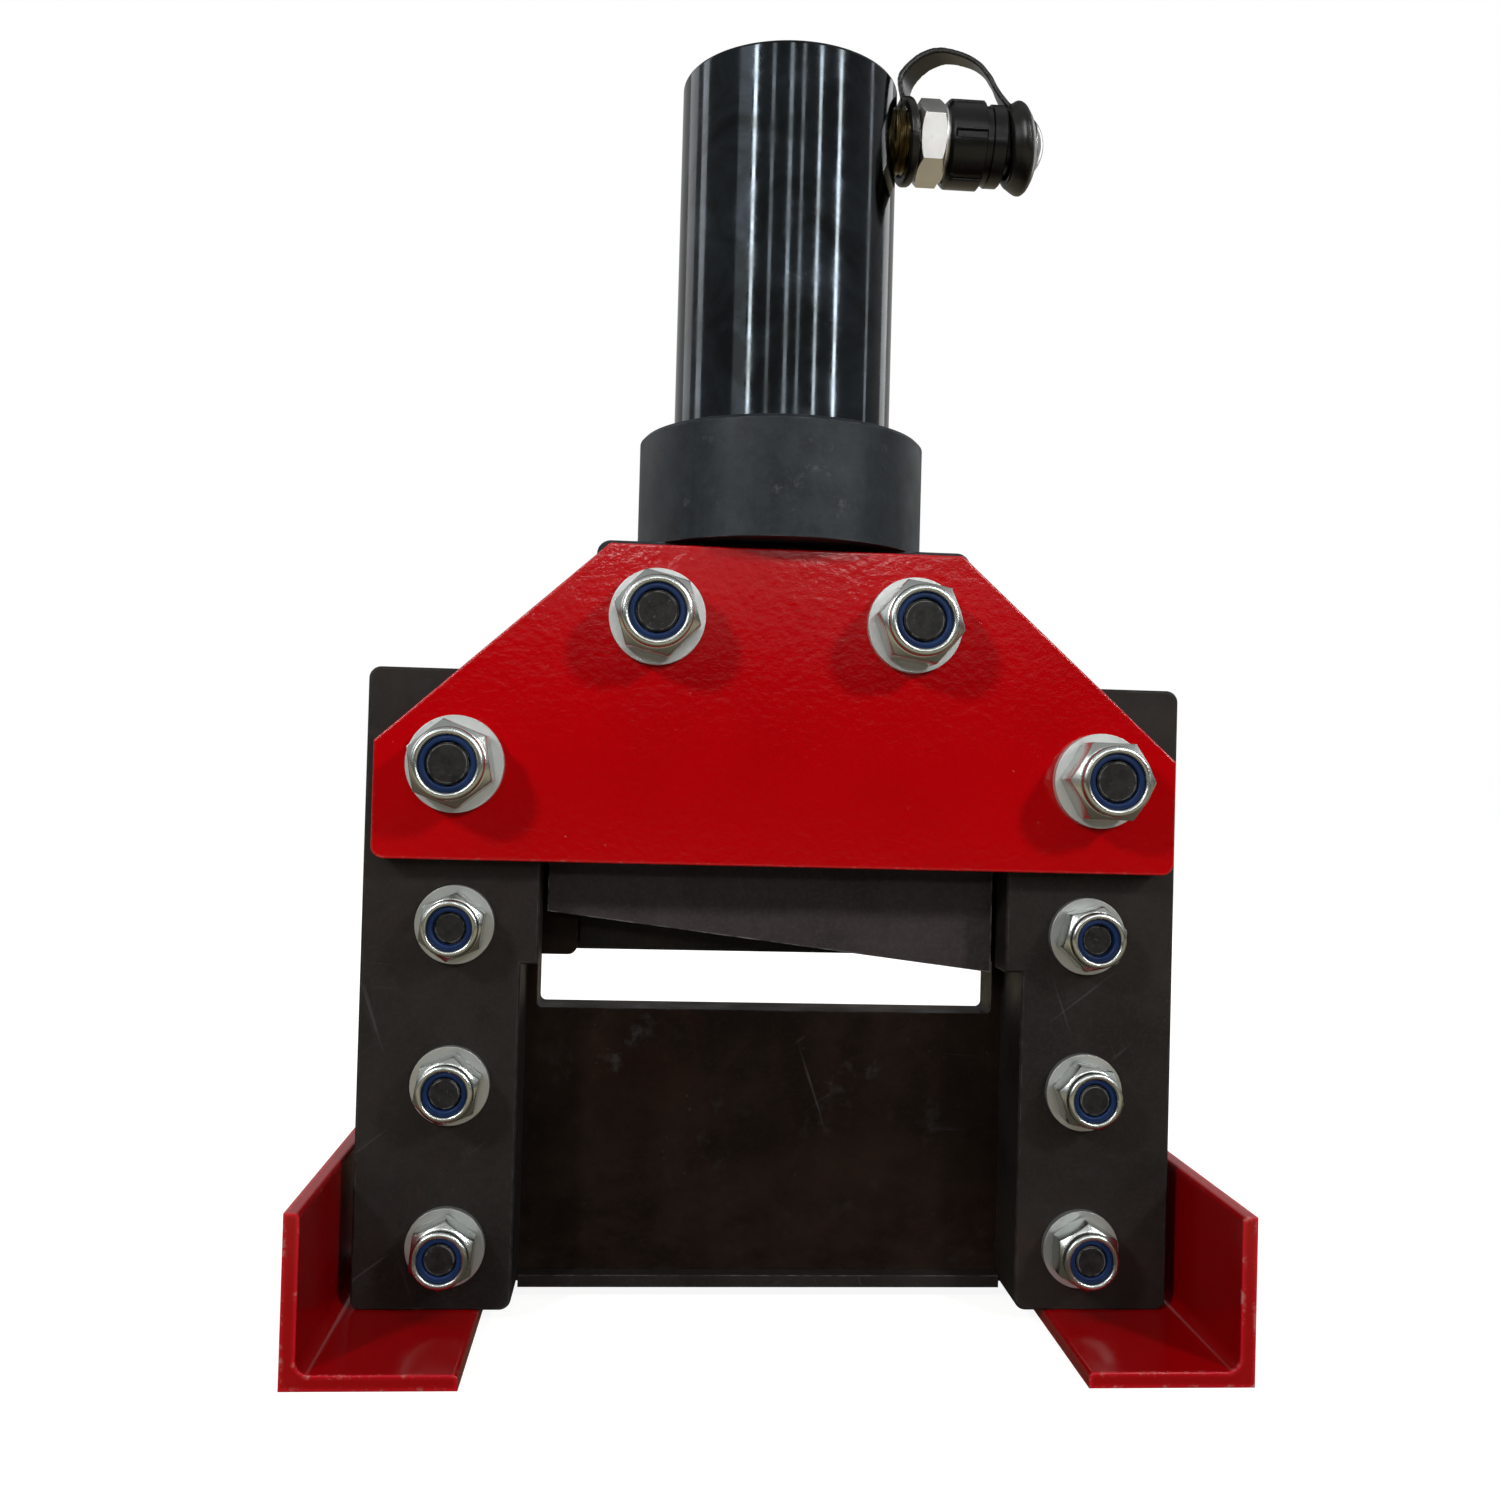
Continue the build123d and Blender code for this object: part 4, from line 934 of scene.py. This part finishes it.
# The strap's arch from loop to bell: mm to the right of the loop, mm above the axis, share of the skew
STRAP_KNOTS = (
    (-2.6, 12.6, 0.3),
    (-2.5, 16.8, 0.75),
    (-2.0, 21.2, 1.0),
    (0.5, 25.0, 1.0),
    (3.2, 27.6, 1.0),
    (5.8, 29.4, 1.0),
    (9.8, 31.0, 1.0),
    (13.8, 31.2, 1.0),
    (17.8, 30.5, 1.0),
    (20.6, 29.7, 1.0),
    (23.1, 28.5, 0.94),
    (25.7, 26.6, 0.86),
    (27.5, 24.3, 0.78),
    (28.9, 22.4, 0.72),
    (30.2, 19.7, 0.66),
    (31.5, 17.5, 0.6),
    (32.9, 15.4, 0.5),
    (34.7, 13.0, 0.4),
)


class CUTTER_OT_strap(bpy.types.Operator):
    """Rubber strap in one piece: a loop on the nipple, an arched band and the bell on the cap"""

    bl_idname = "cutter.strap"
    bl_label = "Cap Strap"

    loop_inset = 2.0 * MM
    loop_offset = 1.6 * MM
    loop_tilt = math.radians(5)
    knot_span = 32.6 * MM
    bell_offset = 0.8 * MM
    bell_drop = 0.7 * MM
    bell_tilt = math.radians(-7)
    bell_hole = 9.9 * MM
    skin_grain = 0.4 * MM
    blend_start = 4.0 * MM

    def execute(self, context):
        low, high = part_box("strap_cap_ring")
        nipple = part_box("port_nipple")
        axis = (nipple[0].z + nipple[1].z) / 2
        loop_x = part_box("coupler_body")[0].x - self.loop_inset
        tilt = Matrix.Rotation(self.loop_tilt, 4, "Z") @ Matrix.Rotation(-self.loop_tilt, 4, "Y")
        loop_place = Matrix.Translation((loop_x - self.loop_offset, 0.0, axis)) @ tilt
        bell_place = Matrix.Translation((low.x + self.bell_offset, 0.0, axis - self.bell_drop))
        bell_place = bell_place @ Matrix.Rotation(self.bell_tilt, 4, "Y")
        parts = [
            (loop_place, self.loop()),
            (Matrix.Identity(4), self.band(loop_x, axis, low.x)),
            (bell_place, self.bell(high.x - low.x, (high.z - low.z) / 2)),
        ]
        rubber = moulded_finish("strap_rubber", finishes().rubber, smooth=0.2, strength=0.08, sheen=0.35)
        piece = add_piece("rubber_strap", parts, rubber, 180.0)
        weld_rubber(piece, self.skin_grain)
        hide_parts("cap_strap", "strap_cap_ring")
        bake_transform(piece)
        return {"FINISHED"}

    def loop(self):
        """A flat ring with bevelled edges."""
        profile = in_mm((-1.2, 11.5), (-1.6, 11.9), (-1.6, 14.1), (-1.0, 14.7))
        profile += in_mm((1.0, 14.7), (1.6, 14.1), (1.6, 11.9), (1.2, 11.5))
        return lathe(profile, 72)

    def band(self, loop_x, axis, bell_x):
        """A band swept along a smooth line from the loop to the bell."""
        stretch = (bell_x - loop_x) / self.knot_span
        knots = [Vector((loop_x + x * stretch * MM, skew, axis + z * MM)) for x, z, skew in STRAP_KNOTS]
        line = smooth_line(knots, 6)
        half = sizes().strap_width / 2
        thick = sizes().strap_thickness / 2
        points = []
        for index, (x, skew, z) in enumerate(line):
            ahead = line[min(index + 1, len(line) - 1)] - line[max(index - 1, 0)]
            out = Vector((-ahead.z, 0.0, ahead.x)).normalized()
            turn = sizes().strap_skew * skew
            centre = Vector((x, 0.0, z))
            aside = Vector((math.sin(turn), math.cos(turn), 0.0)) * half
            for side, lift in ((-1, -1), (1, -1), (1, 1), (-1, 1)):
                points.append(centre + aside * side + out * (lift * thick))
        return points, tube_faces(len(line), 4)

    def bell(self, width, radius):
        """A flared cup with a hole for the cap's neck."""
        profile = [(0.3 * MM, self.bell_hole)]
        profile += in_mm((0.0, 11.6), (0.6, 12.8), (1.8, 13.7), (3.2, 14.8))
        profile += [(4.4 * MM, radius - 0.1 * MM), (5.4 * MM, radius), (6.6 * MM, radius - 0.8 * MM)]
        profile += [(width - 1.8 * MM, radius - 2.6 * MM), (width - 1.0 * MM, radius - 4.0 * MM)]
        profile += [(width - 0.8 * MM, self.bell_hole)]
        return lathe(profile, 96)


# Strip lamps: bearing from the front in degrees, share of the brightness, width in metres
STRIPS = (
    (-128, 0.035, 0.5),
    (-105, 0.11, 0.25),
    (-52, 0.05, 0.4),
    (-41, 1.1, 0.09),
    (-22, 0.13, 0.09),
    (-3.5, 0.22, 0.1),
    (9, 0.16, 0.08),
    (27, 0.65, 0.08),
    (49, 1.1, 0.09),
    (91, 0.1, 0.1),
    (128, 0.05, 0.45),
)
STRIP_DISTANCE = 1.6
STRIP_HEIGHT = 1.0
STRIP_LENGTH = 0.9
STRIP_AIM = Vector((0.0, 0.0, 0.35))

# Key lamps: bearings from the front in degrees, each with one opposite behind
KEY_BEARINGS = (-40, 40)
KEY_DISTANCE = 1.3
KEY_HEIGHT = 0.83
KEY_SIZE = (0.14, 0.14)
KEY_AIM = Vector((0.0, 0.0, 0.2))

# Other lamps: place, aim and size in metres
FRONT_FILL = (Vector((-0.05, -1.8, 0.56)), Vector((0.0, 0.0, 0.2)), (0.8, 0.1))
FRONT_CARD = (Vector((0.166, -0.6, 0.4)), Vector((0.05, 0.0, 0.4)), (0.22, 0.09))
TOP_LAMP = (Vector((0.0, -0.35, 1.6)), Vector((0.0, 0.0, 0.1)), (0.7, 0.5))

FLOOR_REACH = 8
FLOOR_SHINE = 0.45
SENSOR_WIDTH = 36.0
CLIP_START = 0.01


class CUTTER_OT_stage(bpy.types.Operator):
    """Pale floor, room light, lamps and the camera"""

    bl_idname = "cutter.stage"
    bl_label = "Studio Stage"

    def execute(self, context):
        stage = context.scene.cutter_stage
        self.add_floor()
        self.add_room(stage)
        for bearing, share, width in STRIPS:
            self.add_strip(bearing, width, stage.strip_radiance * share)
        for bearing in KEY_BEARINGS:
            self.add_key(bearing, stage.key_power)
            self.add_key(bearing + 180, stage.back_power)
        self.add_lamp("front_fill", *FRONT_FILL, stage.fill_power).visible_glossy = False
        self.add_lamp("front_card", *FRONT_CARD, stage.card_power).visible_diffuse = False
        self.add_lamp("top_lamp", *TOP_LAMP, stage.top_power).visible_glossy = False
        camera = bpy.data.objects.new("camera", bpy.data.cameras.new("camera"))
        context.scene.collection.objects.link(camera)
        camera.location = stage.camera_place
        camera.rotation_euler = stage.camera_turn
        camera.data.lens = stage.focal_length
        camera.data.sensor_width = SENSOR_WIDTH
        camera.data.clip_start = CLIP_START
        context.scene.camera = camera
        context.scene.view_settings.view_transform = "Standard"
        return {"FINISHED"}

    def add_floor(self):
        """A floor that the camera sees as white. Polished metal sees it glow behind and in front."""
        look = Finish("pale_floor", FLOOR_DARK)
        look.coat(FLOOR_PALE, look.patches(3.0, 0.3, 0.7, detail=2.0))
        paths = look.add("ShaderNodeLightPath").outputs
        mirrored = paths["Is Glossy Ray"]
        look.coat(FLOOR_MIRRORED, mirrored)
        depth = look.split(look.place)["Y"]
        behind = look.span(depth, 0.1, 0.25, 0.04, FLOOR_SHINE)
        front = look.span(depth, -1.1, -0.7, 0.0, FLOOR_SHINE)
        front = look.both(front, look.span(depth, -0.3, -0.15, 1.0, 0.0))
        seen = look.maths("MAXIMUM", paths["Is Camera Ray"], paths["Is Transmission Ray"])
        seen = look.maths("ADD", seen, look.both(mirrored, look.maths("ADD", front, behind)))
        away = look.add("ShaderNodeVectorMath", look.place)
        away.operation = "LENGTH"
        level = look.span(away.outputs["Value"], 0.4, 1.6, 0.9, 1.0)
        glow = look.mix(mirrored, WHITE, FLOOR_GLOW)
        strength = look.both(seen, level)
        look.done(roughness=0.9, specular_ior_level=0.0, emission_color=glow, emission_strength=strength)
        corners = ((-1, -1), (1, -1), (1, 1), (-1, 1))
        points = [Vector((FLOOR_REACH * x, FLOOR_REACH * y, 0.0)) for x, y in corners]
        sheet = (Matrix.Identity(4), (points, [(0, 1, 2, 3)]))
        floor = add_piece("floor", [sheet], look.material)

    def add_room(self, stage):
        """White where the camera looks. Polished metal sees a room that is dark low down in front,
        lit above that, and pale behind up to a darker ceiling."""
        world = bpy.data.worlds.new("room")
        bpy.context.scene.world = world
        world.use_nodes = True
        room = Nodes(world.node_tree)
        paths = room.add("ShaderNodeLightPath").outputs
        direction = room.split(room.add("ShaderNodeTexCoord").outputs["Generated"])
        height = room.add("ShaderNodeValToRGB", direction["Z"])
        front = stage.room_front
        stops = ((0.05, 0.004), (0.09, 0.15 * front), (0.15, front), (0.8, 1.1 * front))
        for place, level in stops[1:-1]:
            height.color_ramp.elements.new(place)
        for element, (place, level) in zip(height.color_ramp.elements, stops):
            element.position = place
            element.color = (level, level, level, 1.0)
        behind = room.span(direction["Z"], 0.5, 0.8, stage.room_back, 0.3 * stage.room_back)
        around = room.between(room.span(direction["Y"], 0.0, 0.5), height.outputs["Color"], behind)
        polished = room.between(paths["Is Glossy Ray"], stage.ambient, around)
        seen = room.maths("MAXIMUM", paths["Is Camera Ray"], paths["Is Transmission Ray"])
        strength = room.between(seen, polished, 1.0)
        room.fill(room.nodes["Background"], color=WHITE, strength=strength)

    def add_strip(self, bearing, width, radiance):
        """A tall narrow lamp at a bearing from the front, turned to the barrel."""
        place = self.place_at(bearing, STRIP_DISTANCE, STRIP_HEIGHT)
        power = radiance * math.pi * width * STRIP_LENGTH
        strip = self.add_lamp("strip_lamp", place, STRIP_AIM, (width, STRIP_LENGTH), power)
        strip.visible_diffuse = False

    def add_key(self, bearing, power):
        """A soft lamp up to one side, whose shadows fall down the plate."""
        place = self.place_at(bearing, KEY_DISTANCE, KEY_HEIGHT)
        key = self.add_lamp("key_lamp", place, KEY_AIM, KEY_SIZE, power)
        key.visible_glossy = False

    def place_at(self, bearing, distance, height):
        """A point at a bearing from the front in degrees."""
        turn = math.radians(bearing)
        return Vector((distance * math.sin(turn), -distance * math.cos(turn), height))

    def add_lamp(self, name, place, aim, size, power):
        lamp = bpy.data.lights.new(name, "AREA")
        lamp.shape = "RECTANGLE"
        lamp.size, lamp.size_y = size
        lamp.energy = power
        holder = bpy.data.objects.new(name, lamp)
        bpy.context.scene.collection.objects.link(holder)
        holder.location = place
        holder.rotation_euler = (aim - place).to_track_quat("-Z", "Y").to_euler()
        return holder


class CUTTER_PT_pieces(bpy.types.Panel):
    """Lists the cutter's pieces and settings"""

    bl_label = "Busbar Cutter"
    bl_idname = "CUTTER_PT_pieces"
    bl_space_type = "VIEW_3D"
    bl_region_type = "UI"
    bl_category = "Cutter"

    def draw(self, context):
        scene = context.scene
        for operator in OPERATORS:
            self.layout.operator(operator.bl_idname)
        for settings in (scene.cutter_finishes, scene.cutter_sizes, scene.cutter_stage):
            box = self.layout.box()
            for key in settings.bl_rna.properties.keys():
                if key not in ("rna_type", "name"):
                    box.prop(settings, key)


SETTINGS = (CutterFinishes, CutterSizes, CutterStage)
OPERATORS = (
    CUTTER_OT_red_enamel,
    CUTTER_OT_bars_and_blades,
    CUTTER_OT_cylinder,
    CUTTER_OT_springs,
    CUTTER_OT_bolts,
    CUTTER_OT_lock_nuts,
    CUTTER_OT_coupler,
    CUTTER_OT_strap,
    CUTTER_OT_stage,
)
CLASSES = SETTINGS + OPERATORS + (CUTTER_PT_pieces,)


def register():
    for cls in CLASSES:
        bpy.utils.register_class(cls)
    bpy.types.Scene.cutter_finishes = PointerProperty(type=CutterFinishes)
    bpy.types.Scene.cutter_sizes = PointerProperty(type=CutterSizes)
    bpy.types.Scene.cutter_stage = PointerProperty(type=CutterStage)


def unregister():
    del bpy.types.Scene.cutter_stage
    del bpy.types.Scene.cutter_sizes
    del bpy.types.Scene.cutter_finishes
    for cls in reversed(CLASSES):
        bpy.utils.unregister_class(cls)


def main():
    register()
    bpy.ops.cutter.red_enamel()
    bpy.ops.cutter.bars_and_blades()
    bpy.ops.cutter.cylinder()
    bpy.ops.cutter.springs()
    bpy.ops.cutter.bolts()
    bpy.ops.cutter.lock_nuts()
    bpy.ops.cutter.coupler()
    bpy.ops.cutter.strap()
    bpy.ops.cutter.stage()


if __name__ == "__main__":
    main()
